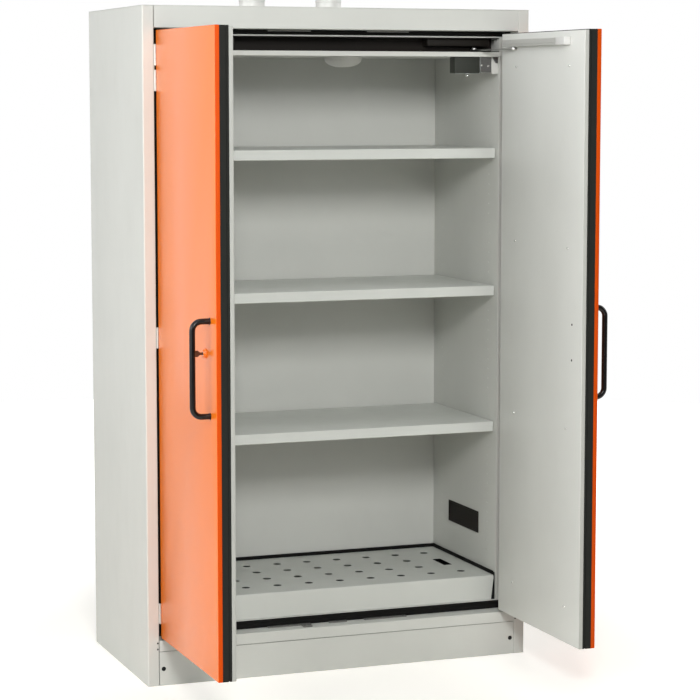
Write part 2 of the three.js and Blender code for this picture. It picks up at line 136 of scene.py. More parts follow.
def powder(name, color, rough=0.42, peel=950.0, depth=0.00004, spread=0.035, dust=0.06, specular=0.5, vary=0.07, ior=1.5):
    """Powder-coated sheet: fine orange peel, slight cloudiness, and faint handling marks that are a little duller."""
    m, nt, bsdf = new_mat(name)
    vec = obj_coords(nt)
    cloud = noise(nt, vec, 3.1, 3.0, 0.55)
    fleck = noise(nt, vec, 2600.0, 1.0)
    base = ramp(nt, cloud, [(0.25, shade(color, 1 - spread)), (0.75, shade(color, 1 + spread))])
    base = mixc(nt, remap(nt, fleck, 0.35, 0.75, 0.0, 0.10), base, shade(color, 0.80))
    smear = noise(nt, obj_coords(nt, (1.0, 1.0, 0.35)), 14.0, 5.0, 0.62)
    base = mixc(nt, remap(nt, smear, 0.58, 0.80, 0.0, dust), base, (0.45, 0.43, 0.40))
    nt.links.new(base, bsdf.inputs["Base Color"])
    r = remap(nt, smear, 0.25, 0.8, rough - vary * 0.7, rough + vary * 1.3)
    nt.links.new(r, bsdf.inputs["Roughness"])
    n1 = bump(nt, noise(nt, vec, peel, 2.0, 0.45), depth)
    n2 = bump(nt, noise(nt, vec, peel * 0.22, 1.0), depth * 2.2, 0.6, n1)
    nt.links.new(n2, bsdf.inputs["Normal"])
    bsdf.inputs["Specular IOR Level"].default_value = specular
    bsdf.inputs["IOR"].default_value = ior
    return m


def metal(name, color, rough=0.3, brush=(1, 1, 1), scale=900.0, depth=0.00002, spread=0.08, metallic=1.0, aniso=0.0):
    """Brushed or drawn metal: streaks along the direction with the small factor in brush."""
    m, nt, bsdf = new_mat(name)
    vec = obj_coords(nt, brush)
    streak = noise(nt, vec, scale, 3.0, 0.6)
    grime = noise(nt, obj_coords(nt), 45.0, 4.0, 0.6)
    base = ramp(nt, streak, [(0.3, shade(color, 1 - spread)), (0.7, shade(color, 1 + spread * 0.6))])
    base = mixc(nt, remap(nt, grime, 0.55, 0.8, 0.0, 0.25), base, shade(color, 0.72))
    nt.links.new(base, bsdf.inputs["Base Color"])
    nt.links.new(remap(nt, streak, 0.25, 0.75, rough - 0.06, rough + 0.08), bsdf.inputs["Roughness"])
    nt.links.new(bump(nt, streak, depth), bsdf.inputs["Normal"])
    bsdf.inputs["Metallic"].default_value = metallic
    return m


def galvanised(name, color, rough=0.42, scale=70.0):
    m, nt, bsdf = new_mat(name)
    vec = obj_coords(nt)
    v = node(nt, "ShaderNodeTexVoronoi", feature="F1")
    v.inputs["Scale"].default_value = scale
    nt.links.new(vec, v.inputs["Vector"])
    sep = node(nt, "ShaderNodeSeparateColor")
    nt.links.new(v.outputs["Color"], sep.inputs["Color"])
    base = ramp(nt, sep.outputs["Red"], [(0.0, shade(color, 0.82)), (1.0, shade(color, 1.18))])
    grime = noise(nt, vec, 120.0, 4.0, 0.6)
    base = mixc(nt, remap(nt, grime, 0.5, 0.8, 0.0, 0.35), base, shade(color, 0.6))
    nt.links.new(base, bsdf.inputs["Base Color"])
    nt.links.new(remap(nt, sep.outputs["Green"], 0.0, 1.0, rough - 0.08, rough + 0.1), bsdf.inputs["Roughness"])
    nt.links.new(bump(nt, grime, 0.00003), bsdf.inputs["Normal"])
    bsdf.inputs["Metallic"].default_value = 0.9
    return m


def rubber(name, color, rough=0.72, grain=1400.0, depth=0.00005, dust=0.25):
    m, nt, bsdf = new_mat(name)
    vec = obj_coords(nt)
    g = noise(nt, vec, grain, 3.0, 0.6)
    c = noise(nt, vec, 22.0, 4.0, 0.6)
    base = ramp(nt, g, [(0.3, shade(color, 0.8)), (0.7, shade(color, 1.25))])
    base = mixc(nt, remap(nt, c, 0.5, 0.85, 0.0, dust), base, (0.11, 0.105, 0.10))
    nt.links.new(base, bsdf.inputs["Base Color"])
    nt.links.new(remap(nt, c, 0.3, 0.8, rough - 0.08, rough + 0.1), bsdf.inputs["Roughness"])
    nt.links.new(bump(nt, g, depth), bsdf.inputs["Normal"])
    bsdf.inputs["Specular IOR Level"].default_value = 0.16
    return m


def board(name, color):
    m, nt, bsdf = new_mat(name)
    vec = obj_coords(nt)
    fibre = noise(nt, obj_coords(nt, (1.0, 1.0, 0.12)), 700.0, 4.0, 0.7)
    cloud = noise(nt, vec, 30.0, 4.0, 0.6)
    base = ramp(nt, fibre, [(0.3, shade(color, 0.84)), (0.75, shade(color, 1.1))])
    base = mixc(nt, remap(nt, cloud, 0.45, 0.8, 0.0, 0.4), base, shade(color, 0.75))
    nt.links.new(base, bsdf.inputs["Base Color"])
    bsdf.inputs["Roughness"].default_value = 0.95
    nt.links.new(bump(nt, fibre, 0.0002), bsdf.inputs["Normal"])
    bsdf.inputs["Specular IOR Level"].default_value = 0.2
    return m


def plastic(name, color, rough=0.4, grain=900.0, depth=0.00003, spread=0.04, specular=0.5):
    m, nt, bsdf = new_mat(name)
    vec = obj_coords(nt)
    g = noise(nt, vec, grain, 2.0)
    c = noise(nt, vec, 18.0, 3.0)
    base = ramp(nt, c, [(0.3, shade(color, 1 - spread)), (0.7, shade(color, 1 + spread))])
    nt.links.new(base, bsdf.inputs["Base Color"])
    nt.links.new(remap(nt, g, 0.3, 0.7, rough - 0.05, rough + 0.06), bsdf.inputs["Roughness"])
    nt.links.new(bump(nt, g, depth), bsdf.inputs["Normal"])
    bsdf.inputs["Specular IOR Level"].default_value = specular
    return m


GREY = (0.610, 0.622, 0.585)
INNER = (0.628, 0.636, 0.600)
M = {
    "body_paint": powder("body_powder_grey", GREY, 0.40),
    "door_paint": powder("door_powder_orange", (0.87, 0.186, 0.006), 0.22, peel=820.0, depth=0.000012, spread=0.02, dust=0.012, vary=0.02, ior=1.60),
    "inner_paint": powder("inner_powder_grey", INNER, 0.42),
    "shelf_paint": powder("shelf_powder_grey", (0.635, 0.655, 0.618), 0.36, spread=0.03, dust=0.10),
    "fire_board": board("fire_board", (0.60, 0.57, 0.50)),
    "seal_black": rubber("seal_black", (0.015, 0.016, 0.014), dust=0.06),
    "channel_black": powder("channel_black", (0.012, 0.010, 0.008), 0.50, spread=0.15, dust=0.02, specular=0.2),
    "sump_black": powder("sump_black", (0.006, 0.006, 0.006), 0.50, spread=0.15, dust=0.01, specular=0.22),
    "grille_black": plastic("grille_black", (0.010, 0.007, 0.005), 0.55, specular=0.15),
    "galvanised": galvanised("galvanised_dull", (0.30, 0.31, 0.30)),
    "handle_black": plastic("handle_satin_black", (0.0045, 0.0035, 0.0038), 0.20, depth=0.000008, spread=0.15, specular=0.34),
    "rail_metal": metal("rail_silver", (0.56, 0.56, 0.53), 0.40, brush=(1, 0.02, 1), scale=1500.0, metallic=0.35),
    "arm_steel": metal("arm_zinc", (0.62, 0.62, 0.60), 0.32, brush=(1, 0.06, 1)),
    "hinge_steel": metal("hinge_zinc", (0.62, 0.62, 0.59), 0.42, brush=(1, 1, 0.05), metallic=0.55),
    "lock_metal": metal("lock_nickel", (0.62, 0.60, 0.56), 0.16, brush=(0.1, 1, 1), scale=1800.0, spread=0.05),
    "rod_steel": metal("rod_steel", (0.50, 0.50, 0.49), 0.34, brush=(1, 1, 0.02)),
    "white_plastic": plastic("white_plastic", (0.70, 0.70, 0.67), 0.38),
}
M_SCREW = metal("screw_zinc", (0.72, 0.72, 0.70), 0.24, scale=2500.0, depth=0.00001)
M_DARKBOX = powder("release_box_dark", (0.030, 0.033, 0.027), 0.50, spread=0.08, dust=0.04, specular=0.3)
M_BRACKET = powder("bracket_dark", (0.105, 0.105, 0.100), 0.42, spread=0.08, dust=0.05)
# Darker, duller copy of the orange door paint for the folded door edges: painted shade, the real door has one paint.
M_DOOR_EDGE_SHADE = powder("door_powder_edge_painted_shade", (0.66, 0.072, 0.001), 0.50, peel=820.0, depth=0.000012, spread=0.03, dust=0.008, specular=0.12, vary=0.03)
# Door lining: a lighter copy of the inside grey, painted light; the real lining has the same paint as the inside.
M_LINING = powder("door_lining_grey_painted_light", (0.690, 0.698, 0.664), 0.40, spread=0.03, dust=0.05)
# Darker copy of the inside grey for the folded lining edges: painted shade.
M_LINING_EDGE_SHADE = powder("door_lining_edge_painted_shade", (0.480, 0.488, 0.455), 0.48, spread=0.04, dust=0.10, specular=0.3)
M_PLUG = plastic("plug_black", (0.006, 0.006, 0.006), 0.50, specular=0.2)
M_KEEPER = metal("keeper_dull", (0.20, 0.20, 0.19), 0.52, metallic=0.45, scale=400.0)
M_INSERT = powder("insert_powder_grey", (0.590, 0.608, 0.572), 0.38, spread=0.03, dust=0.08)
M_CAP = plastic("cap_grey", (0.64, 0.64, 0.62), 0.38)
M_BRASS = metal("key_steel", (0.15, 0.085, 0.055), 0.34, brush=(1, 1, 0.1), scale=1500.0)


# ------------------------------------------------------------------ geometry helpers, in millimetres
def fillet(pts, radii, seg=4):
    out = []
    n = len(pts)
    if isinstance(radii, (int, float)):
        radii = [radii] * n
    for i, r in enumerate(radii):
        a, b, c = Vector(pts[i - 1]), Vector(pts[i]), Vector(pts[(i + 1) % n])
        u, v = a - b, c - b
        lu, lv = u.length, v.length
        if r <= 0 or lu < 1e-6 or lv < 1e-6:
            out.append((b.x, b.y))
            continue
        u.normalize()
        v.normalize()
        ang = u.angle(v)
        if ang > math.pi - 1e-3:
            out.append((b.x, b.y))
            continue
        d = min(r / math.tan(ang / 2), lu * 0.48, lv * 0.48)
        rr = d * math.tan(ang / 2)
        cen = b + (u + v).normalized() * (rr / math.sin(ang / 2))
        p0, p1 = b + u * d, b + v * d
        a0 = math.atan2(p0.y - cen.y, p0.x - cen.x)
        a1 = math.atan2(p1.y - cen.y, p1.x - cen.x)
        da = (a1 - a0 + math.pi) % (2 * math.pi) - math.pi
        k = seg if rr > 0.8 else 2
        for j in range(k + 1):
            t = a0 + da * j / k
            out.append((cen.x + rr * math.cos(t), cen.y + rr * math.sin(t)))
    return out


def rect(a0, a1, b0, b1):
    return [(a0, b0), (a1, b0), (a1, b1), (a0, b1)]


def circle(cx, cy, r, n=32, start=0.0):
    return [(cx + r * math.cos(start + 2 * math.pi * i / n), cy + r * math.sin(start + 2 * math.pi * i / n)) for i in range(n)]


class Part:
    """Collects closed shells in one mesh."""

    def __init__(self):
        self.bm = bmesh.new()

    def add(self, verts, faces):
        vs = [self.bm.verts.new(v) for v in verts]
        fs = [self.bm.faces.new([vs[i] for i in f]) for f in faces]
        return vs, fs

    def box(self, x0, x1, y0, y1, z0, z1, r=0.0, seg=2):
        x0, x1 = min(x0, x1), max(x0, x1)
        y0, y1 = min(y0, y1), max(y0, y1)
        v = [(x, y, z) for z in (z0, z1) for y in (y0, y1) for x in (x0, x1)]
        vs, fs = self.add(v, [(0, 2, 3, 1), (4, 5, 7, 6), (0, 1, 5, 4), (2, 6, 7, 3), (0, 4, 6, 2), (1, 3, 7, 5)])
        if r > 0:
            edges = {e for f in fs for e in f.edges}
            bmesh.ops.bevel(self.bm, geom=list(edges), offset=r, segments=seg, profile=0.5, affect="EDGES", clamp_overlap=True)
        return self

    def prism(self, pts, axis, a0, a1):
        n = len(pts)

        def P(p, a):
            return {"x": (a, p[0], p[1]), "y": (p[0], a, p[1]), "z": (p[0], p[1], a)}[axis]

        verts = [P(p, a0) for p in pts] + [P(p, a1) for p in pts]
        faces = [(i, (i + 1) % n, n + (i + 1) % n, n + i) for i in range(n)]
        faces += [tuple(range(n))[::-1], tuple(n + i for i in range(n))]
        self.add(verts, faces)
        return self

    def lathe(self, profile, origin, axis, n=32, hexes=()):
        """profile: (radius, height) from one pole or rim round to the other. Rows whose index is in hexes get a six-sided outline."""
        ax = Vector(axis).normalized()
        side = Vector((0, 0, 1)) if abs(ax.z) < 0.9 else Vector((1, 0, 0))
        u = ax.cross(side).normalized()
        w = ax.cross(u)
        o = Vector(origin)
        rows = []
        for i, (r, h) in enumerate(profile):
            if r < 1e-6:
                rows.append([self.bm.verts.new(o + ax * h)])
                continue
            row = []
            for k in range(n):
                t = 2 * math.pi * k / n
                rr = r
                if i in hexes:
                    rr = r / math.cos(((t + math.pi / 6) % (math.pi / 3)) - math.pi / 6)
                row.append(self.bm.verts.new(o + ax * h + u * (rr * math.cos(t)) + w * (rr * math.sin(t))))
            rows.append(row)
        closed = len(rows[0]) > 1 and len(rows[-1]) > 1
        pairs = list(zip(rows, rows[1:])) + ([(rows[-1], rows[0])] if closed else [])
        for a, b in pairs:
            for k in range(n):
                j = (k + 1) % n
                if len(a) == 1 and len(b) == 1:
                    continue
                if len(a) == 1:
                    self.bm.faces.new([a[0], b[j], b[k]])
                elif len(b) == 1:
                    self.bm.faces.new([a[k], a[j], b[0]])
                else:
                    self.bm.faces.new([a[k], a[j], b[j], b[k]])
        return self

    def tube(self, path, r, n=20, up=(0, 1, 0)):
        """A round bar along a path in one plane; up is normal to that plane."""
        upv = Vector(up).normalized()
        pts = [Vector(p) for p in path]
        rows = []
        for i, p in enumerate(pts):
            t = (pts[min(i + 1, len(pts) - 1)] - pts[max(i - 1, 0)]).normalized()
            side = t.cross(upv).normalized()
            k = 1.0
            if 0 < i < len(pts) - 1:
                a = (pts[i] - pts[i - 1]).normalized().dot((pts[i + 1] - pts[i]).normalized())
                k = 1.0 / max(0.7, math.sqrt((1 + a) / 2))
            rows.append([self.bm.verts.new(p + side * (r * k * math.cos(2 * math.pi * j / n)) + upv * (r * math.sin(2 * math.pi * j / n))) for j in range(n)])
        for a, b in zip(rows, rows[1:]):
            for k in range(n):
                j = (k + 1) % n
                self.bm.faces.new([a[k], a[j], b[j], b[k]])
        self.bm.faces.new(rows[0][::-1])
        self.bm.faces.new(rows[-1])
        return self

    def ring(self, inner, outer, profile, plane):
        """A closed profile of (share from inner to outer rectangle, depth) run round a rectangle with mitred corners."""
        def corner(f, k):
            a0, a1, b0, b1 = (i + (o - i) * f for i, o in zip(inner, outer))
            return [(a0, b0), (a1, b0), (a1, b1), (a0, b1)][k]

        def P(c, d):
            return {"x": (d, c[0], c[1]), "y": (c[0], d, c[1]), "z": (c[0], c[1], d)}[plane]

        rows = [[self.bm.verts.new(P(corner(f, k), d)) for k in range(4)] for f, d in profile]
        m = len(rows)
        for i in range(m):
            a, b = rows[i], rows[(i + 1) % m]
            for k in range(4):
                j = (k + 1) % 4
                self.bm.faces.new([a[k], a[j], b[j], b[k]])
        return self

    def screw(self, at, axis, r=4.0, h=2.4, n=24):
        """Domed head with a six-sided recess."""
        rec = r * 0.42
        prof = [(0, h * 0.42), (rec, h * 0.42), (rec, h * 0.97), (r * 0.62, h * 0.93), (r * 0.86, h * 0.66), (r, h * 0.22), (r, 0.0), (0, 0.0)]
        return self.lathe(prof, at, axis, n, hexes=(1, 2))

    def countersunk(self, at, axis, r=4.0, n=24):
        rec = r * 0.40
        prof = [(0, -1.2), (rec, -1.2), (rec, 0.05), (r * 0.92, 0.12), (r, -0.05), (r * 0.6, -1.6), (0, -1.6)]
        return self.lathe(prof, at, axis, n, hexes=(1, 2))

    def to_object(self, name):
        bmesh.ops.recalc_face_normals(self.bm, faces=self.bm.faces)
        bmesh.ops.scale(self.bm, vec=(MM, MM, MM), verts=self.bm.verts)
        me = bpy.data.meshes.new(name)
        self.bm.to_mesh(me)
        self.bm.free()
        ob = bpy.data.objects.new(name, me)
        COL.objects.link(ob)
        return ob


def apply_mods(ob):
    bpy.context.view_layer.update()
    dg = bpy.context.evaluated_depsgraph_get()
    me = bpy.data.meshes.new_from_object(ob.evaluated_get(dg))
    old = ob.data
    ob.modifiers.clear()
    ob.data = me
    bpy.data.meshes.remove(old)


def add_bevel(ob, width, seg=2, angle=50.0):
    m = ob.modifiers.new("edge", "BEVEL")
    m.width = width * MM
    m.segments = seg
    m.limit_method = "ANGLE"
    m.angle_limit = math.radians(angle)
    m.use_clamp_overlap = True


def cut(ob, cutters):
    """Cuts away a Part from the object."""
    tool = cutters.to_object(ob.name + "_tool")
    m = ob.modifiers.new("cut", "BOOLEAN")
    m.operation = "DIFFERENCE"
    m.solver = "EXACT"
    m.object = tool
    apply_mods(ob)
    me = tool.data
    bpy.data.objects.remove(tool)
    bpy.data.meshes.remove(me)


def smooth(ob, angle=32.0):
    me = ob.data
    me.polygons.foreach_set("use_smooth", [True] * len(me.polygons))
    me.set_sharp_from_angle(angle=math.radians(angle))
    me.update()


def put(ob, material, body, replaces=(), bevel=0.0, seg=2, angle=50.0, soften=32.0, weighted=None):
    if bevel > 0:
        add_bevel(ob, bevel, seg, angle)
        apply_mods(ob)
    smooth(ob, soften)
    if weighted if weighted is not None else bevel > 0:
        w = ob.modifiers.new("normals", "WEIGHTED_NORMAL")
        w.keep_sharp = True
        w.weight = 60
    ob.data.materials.clear()
    ob.data.materials.append(material)
    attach(ob, body)
    if replaces:
        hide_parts(*replaces)
    return ob


def paint_edge_shade(ob, material, limit=0.6):
    """A darker copy of the sheet's paint on the folded edges of a door sheet: painted shade, not a second paint."""
    ob.data.materials.append(material)
    for f in ob.data.polygons:
        if abs(f.normal.x) < limit:
            f.material_index = 1
    return ob


def dress(name, material, width=0.5, seg=2):
    """A CAD node that stays: fine edge radius and its own finish."""
    ob = NODES[name]
    ob.data.materials.clear()
    ob.data.materials.append(material)
    if width > 0:
        w = ob.modifiers.new("weld", "WELD")
        w.merge_threshold = 0.00002
        b = ob.modifiers.new("edge", "BEVEL")
        b.width = width * MM
        b.segments = seg
        b.limit_method = "ANGLE"
        b.angle_limit = math.radians(40)
        n = ob.modifiers.new("normals", "WEIGHTED_NORMAL")
        n.keep_sharp = False


# ------------------------------------------------------------------ dimensions, read from the frame
X = B("side_panel_right")[1]
Y = B("back_panel")[3]
TOP_Z = B("top_panel")[5]
PX = B("side_panel_right")[0]
RING_Y1 = B("frame_ring")[3]
SIDE_IN = X - 2
HEADER_Z = B("header_fascia")[4]
SILL_H = B("sill")[5]
WALL = B("liner_right")[0]
BODY_TOP = B("side_panel_right")[5]

# ------------------------------------------------------------------ outer body
for side, s in (("left", -1), ("right", 1)):
    outline = [(X, Y), (X, -Y), (PX, -Y), (PX, RING_Y1), (PX + 2, RING_Y1), (PX + 2, -Y + 2), (SIDE_IN, -Y + 2), (SIDE_IN, Y)]
    radii = [0.5, 4.0, 2.6, 0.4, 0.4, 1.0, 2.0, 0.4]
    p = Part().prism([(s * a, b) for a, b in fillet(outline, radii, 5)], "z", 0.0, BODY_TOP)
    put(p.to_object(f"side_shell_{side}"), M["body_paint"], "cabinet_body", [f"side_panel_{side}"], bevel=0.35, angle=60)

SEAM = 0.9
hx = PX - SEAM
TIGHT = PX - 0.25
p = Part().prism(fillet([(-Y, HEADER_Z), (RING_Y1, HEADER_Z), (RING_Y1, HEADER_Z + 2), (-Y + 2, HEADER_Z + 2), (-Y + 2, BODY_TOP), (-Y, BODY_TOP)],
                        [2.6, 0.4, 0.4, 1.0, 0.4, 0.4]), "x", -hx, TIGHT)
put(p.to_object("header_front"), M["body_paint"], "cabinet_body", ["header_fascia"], bevel=0.5, angle=60)
SZ0 = B("sill")[4] + 0.5
p = Part().prism(fillet([(-Y, SZ0), (-Y + 2, SZ0), (-Y + 2, SILL_H - 2), (RING_Y1, SILL_H - 2), (RING_Y1, SILL_H), (-Y, SILL_H)],
                        [0.5, 0.4, 1.0, 0.4, 0.4, 2.6]), "x", -hx, TIGHT)
put(p.to_object("sill_front"), M["body_paint"], "cabinet_body", ["sill"], bevel=0.5, angle=60)
PZ1 = B("plinth_panel")[5]
ob = Part().box(-hx, hx, -Y, -Y + 2, 0, PZ1 - 0.5).to_object("plinth_front")
cut(ob, Part().prism(circle(-549.5, 49.5, 6.0, 28), "y", -Y - 5, -Y + 8).prism(circle(549.5, 49.5, 6.0, 28), "y", -Y - 5, -Y + 8))
put(ob, M["body_paint"], "cabinet_body", ["plinth_panel"], bevel=0.5, angle=60)
p = Part()
for s in (-1, 1):
    p.lathe([(0, 0.5), (2.2, 0.55), (2.9, 1.0), (4.6, 0.95), (6.4, 0.45), (6.5, 0.05), (5.7, 0.0), (5.6, -5.5), (0, -5.5)], (s * 549.5, -Y, 49.5), (0, -1, 0), 32)
put(p.to_object("plug_caps"), M_PLUG, "cabinet_body")
# small fixing screws in the lower corners of the posts
p = Part()
for x, z in ((-566.9, 126.0), (-566.9, 108.0), (566.9, 109.0), (566.9, 126.0)):
    p.screw((x, -Y, z), (0, -1, 0), 2.6, 1.1, 20)
put(p.to_object("post_screws"), M_PLUG, "cabinet_body")

for name in ("back_panel", "top_panel"):
    dress(name, M["body_paint"], 0.5)
dress("base_pan", M["galvanised"], 0.4)
# rivets that hold the back sheet
p = Part()
for s in (-1, 1):
    for k in range(9):
        z = 70 + k * (TOP_Z - 150) / 8
        p.lathe([(0, 1.3), (1.6, 1.15), (2.9, 0.6), (3.3, 0.0), (0, 0.0)], (s * (X - 14), Y, z), (0, 1, 0), 20)
for k in range(7):
    for z in (40, TOP_Z - 22):
        p.lathe([(0, 1.3), (1.6, 1.15), (2.9, 0.6), (3.3, 0.0), (0, 0.0)], (-450 + 150 * k, Y, z), (0, 1, 0), 20)
put(p.to_object("back_rivets"), M["body_paint"], "cabinet_body")

for name in ("insulation_left", "insulation_right", "insulation_back", "insulation_bottom", "insulation_top", "door_core_left", "door_core_right"):
    dress(name, M["fire_board"], 0.6, 1)

# ------------------------------------------------------------------ inner frame and liner
dress("frame_ring", M["inner_paint"], 0.4)
fx0, fx1, fy0, fy1, fz0, fz1 = B("frame_seal")
inner = (-536.0, 536.0, 157.7, 1875.0)
prof = [(0.0, fy1), (0.0, fy0 + 0.7), (0.05, fy0), (0.34, fy0), (0.40, fy0 + 1.1), (0.50, fy0 + 1.1), (0.56, fy0), (0.94, fy0), (1.0, fy0 + 0.7), (1.0, fy1)]
p = Part().ring(inner, (fx0, fx1, fz0, fz1), prof, "y")
M_GASKET = rubber("gasket_black", (0.0045, 0.0045, 0.004), dust=0.03)
put(p.to_object("frame_gasket"), M_GASKET, "cabinet_body", ["frame_seal"], soften=20)

SLOT_Y = (-178.0, 181.0)
SHELF = [B(f"shelf_{i}")[5] for i in (1, 2, 3)]
PITCH = (SHELF[0] - SHELF[2]) / 28.0
SLOT_Z = [SHELF[2] - 19.5 + PITCH * k for k in range(-13, 35)]
for side, s in (("left", -1), ("right", 1)):
    x0, x1, y0, y1, z0, z1 = B(f"liner_{side}")
    ob = Part().box(x0, x1, y0, y1, z0, z1).to_object(f"wall_liner_{side}")
    tools = Part()
    for yy in SLOT_Y:
        for zz in SLOT_Z:
            tools.prism(fillet(rect(yy - 5, yy + 5, zz - 1.7, zz + 1.7), 0.8, 2), "x", x0 - 3, x1 + 3)
    cut(ob, tools)
    put(ob, M["inner_paint"], "cabinet_body", [f"liner_{side}"])
    # closed backs of the slotted strips, let into the liner
    p = Part()
    xb = s * (WALL + 1.35)
    for yy in SLOT_Y:
        p.prism(fillet(rect(yy - 5.9, yy + 5.9, SLOT_Z[0] - 6, SLOT_Z[-1] + 6), 1.0, 2), "x", xb, xb + s * 0.5)
    put(p.to_object(f"slot_backs_{side}"), M["inner_paint"], "cabinet_body")
dress("liner_back", M["inner_paint"], 0.4)
dress("liner_floor", M["inner_paint"], 0.4)
dress("liner_ceiling", M["inner_paint"], 0.5)
dress("closer_channel", M["channel_black"], 0.4)

# ------------------------------------------------------------------ keeper plates, below and above
p0 = {}
for name in ("keeper_left", "keeper_centre", "keeper_right"):
    x0, x1, y0, y1, z0, z1 = B(name)
    yb = -262.0
    pts = rect(x0, x1, yb, y1)
    p = Part().prism(fillet(pts, [3, 3, 0.3, 0.3], 4), "z", z0, z1)
    ob = p.to_object(name + "_plate")
    tools = Part()
    spots = [x0 + 10, x1 - 10] if name != "keeper_centre" else [(x0 + x1) / 2]
    if name == "keeper_left":
        kx, ky = -100.0, -274.3
        ob2 = Part().prism(fillet(rect(kx - 14, kx + 14, ky - 13, yb + 3), [4, 4, 0.2, 0.2], 5), "z", z0, z1).to_object("keeper_tab")
        m = ob.modifiers.new("join", "BOOLEAN")
        m.operation = "UNION"
        m.solver = "EXACT"
        m.object = ob2
        apply_mods(ob)
        bpy.data.objects.remove(ob2)
        tools.prism(circle(kx, ky, 6.0, 28), "z", z0 - 5, z1 + 5)
        spots = [x0 + 10, (x0 + x1) / 2]
    for sx in spots:
        tools.prism(circle(sx, -254.5, 3.2, 20), "z", z0 - 5, z1 + 5)
    cut(ob, tools)
    put(ob, M_KEEPER, "cabinet_body", [name], bevel=0.35, angle=60)
    p0[name] = (spots, z1)
p = Part()
for spots, z1 in p0.values():
    for sx in spots:
        p.countersunk((sx, -254.5, z1 - 0.1), (0, 0, 1), 3.1, 20)
put(p.to_object("keeper_screws"), M_SCREW, "cabinet_body")
for nm, x0, x1 in (("left", -212.0, -80.0), ("right", 94.0, 226.0)):
    zc = HEADER_Z - 0.3
    pts = [(-262.0, zc), (-262.0, zc - 5.4), (-260.0, zc - 5.4), (-260.0, zc - 2.0), (-247.4, zc - 2.0), (-247.4, zc)]
    p = Part().prism(fillet(pts, [1.6, 0.4, 0.4, 0.8, 0.3, 0.3], 4), "x", x0, x1)
    put(p.to_object(f"upper_keeper_{nm}"), M_KEEPER, "cabinet_body", bevel=0.3, angle=60)

# ------------------------------------------------------------------ ceiling fittings
x0, x1, y0, y1, z0, z1 = B("smoke_detector")
cx, cy, r = (x0 + x1) / 2, (y0 + y1) / 2, (x1 - x0) / 2
prof = [(0, 0), (r, 0), (r, -4.6), (r - 0.8, -5.8), (r - 1.6, -6.0), (r - 1.6, -6.6), (r - 1.0, -6.8), (r - 1.4, -9.6), (r - 3.4, -13.2), (r - 7.4, -17.4), (r - 13, -21.2),
        (r - 21, -24.9), (r - 30, -27.6), (r - 39, -29.2), (r - 44, -29.6), (r - 44.8, -29.1), (r - 48, -29.1), (r - 48.8, -29.8), (0, -29.9)]
p = Part().lathe(prof, (cx, cy, z1), (0, 0, 1), 72)
put(p.to_object("detector_dome"), M["white_plastic"], "cabinet_body", ["smoke_detector"], soften=28)

x0, x1, y0, y1, z0, z1 = B("vent_grille")
p = Part().ring((y0 + 5, y1 - 5, z0 + 5, z1 - 5), (y0, y1, z0, z1),
                [(0, x1), (0, x0 + 0.9), (0.15, x0 + 0.1), (0.5, x0), (0.9, x0 + 0.2), (1, x0 + 0.8), (1, x1)], "x")
zz = z0 + 9.0
while zz < z1 - 8:
    p.prism([(x1 - 1.3, zz), (x1 - 0.9, zz - 0.2), (x1 - 0.5, zz + 2.0), (x1 - 0.9, zz + 2.2)], "y", y0 + 4.5, y1 - 4.5)
    zz += 4.4
p.box(x1 - 0.45, x1 - 0.05, y0 + 2, y1 - 2, z0 + 2, z1 - 2)
put(p.to_object("vent_louvres"), M["grille_black"], "cabinet_body", ["vent_grille"], soften=20)

# hold-open release: housing, bracket with its screws, wall plate and gusset
x0, x1, y0, y1, z0, z1 = B("release_unit")
p = Part().box(x0, 464.0, y0, -198, 1766, 1814.2, 1.4, 3)
for k in range(5):
    p.box(x0 + 12 + 9 * k, x0 + 17 + 9 * k, -212, -204, 1765.2, 1767.0, 0.3, 1)
put(p.to_object("release_housing"), M_DARKBOX, "cabinet_body", ["release_unit"], soften=30)
p = Part().prism(fillet([(464.3, -239.6), (467.6, -239.6), (467.6, -236.2), (503.4, -236.2), (503.4, -233.6), (464.3, -233.6)], 0.5, 3), "z", 1768, 1813.6)
put(p.to_object("release_bracket"), M_BRACKET, "cabinet_body", bevel=0.25, angle=60)
p = Part().box(464.2, 467.8, -240.4, -238.6, 1764.6, 1814.0, 0.5, 2)
p.box(x0 + 2, 467.8, -239.2, -236.5, 1764.6, 1765.8, 0.3, 2)
put(p.to_object("release_trim"), M["galvanised"], "cabinet_body")
p = Part().prism(fillet([(503.6, -238), (505.6, -238), (505.6, -217.0), (523.6, -217.0), (523.6, -214.6), (503.6, -214.6)], [0.6] * 6, 3), "z", 1764, 1813.8)
p.prism(fillet([(503.8, 1764.2), (523.6, 1764.2), (523.6, 1813.8), (503.8, 1813.8)], 1.2, 3), "y", -238.2, -236.4)
put(p.to_object("release_plate"), M["inner_paint"], "cabinet_body", bevel=0.3, angle=60)
p = Part().prism([(504.5, 1813.6), (523.4, 1813.6), (523.4, 1796.0), (516.0, 1796.0)], "y", -240.2, -238.5)
put(p.to_object("release_gusset"), M["galvanised"], "cabinet_body", bevel=0.3, angle=60)
p = Part()
p.screw((470.8, -236.2, 1789.5), (0, -1, 0), 3.6, 2.6)
p.screw((493.0, -236.2, 1787.5), (0, -1, 0), 3.6, 2.6)
p.screw((516.0, -238.2, 1801.0), (0, -1, 0), 1.8, 1.0, 18)
p.lathe([(0, 1), (4.0, 1), (4.0, -3.2), (5.2, -3.6), (6.2, -5.4), (6.0, -7.6), (4.6, -8.8), (0, -9.2)], (428.0, -228.0, 1765.6), (0, 0, 1), 28)
put(p.to_object("release_screws"), M_SCREW, "cabinet_body", soften=35)

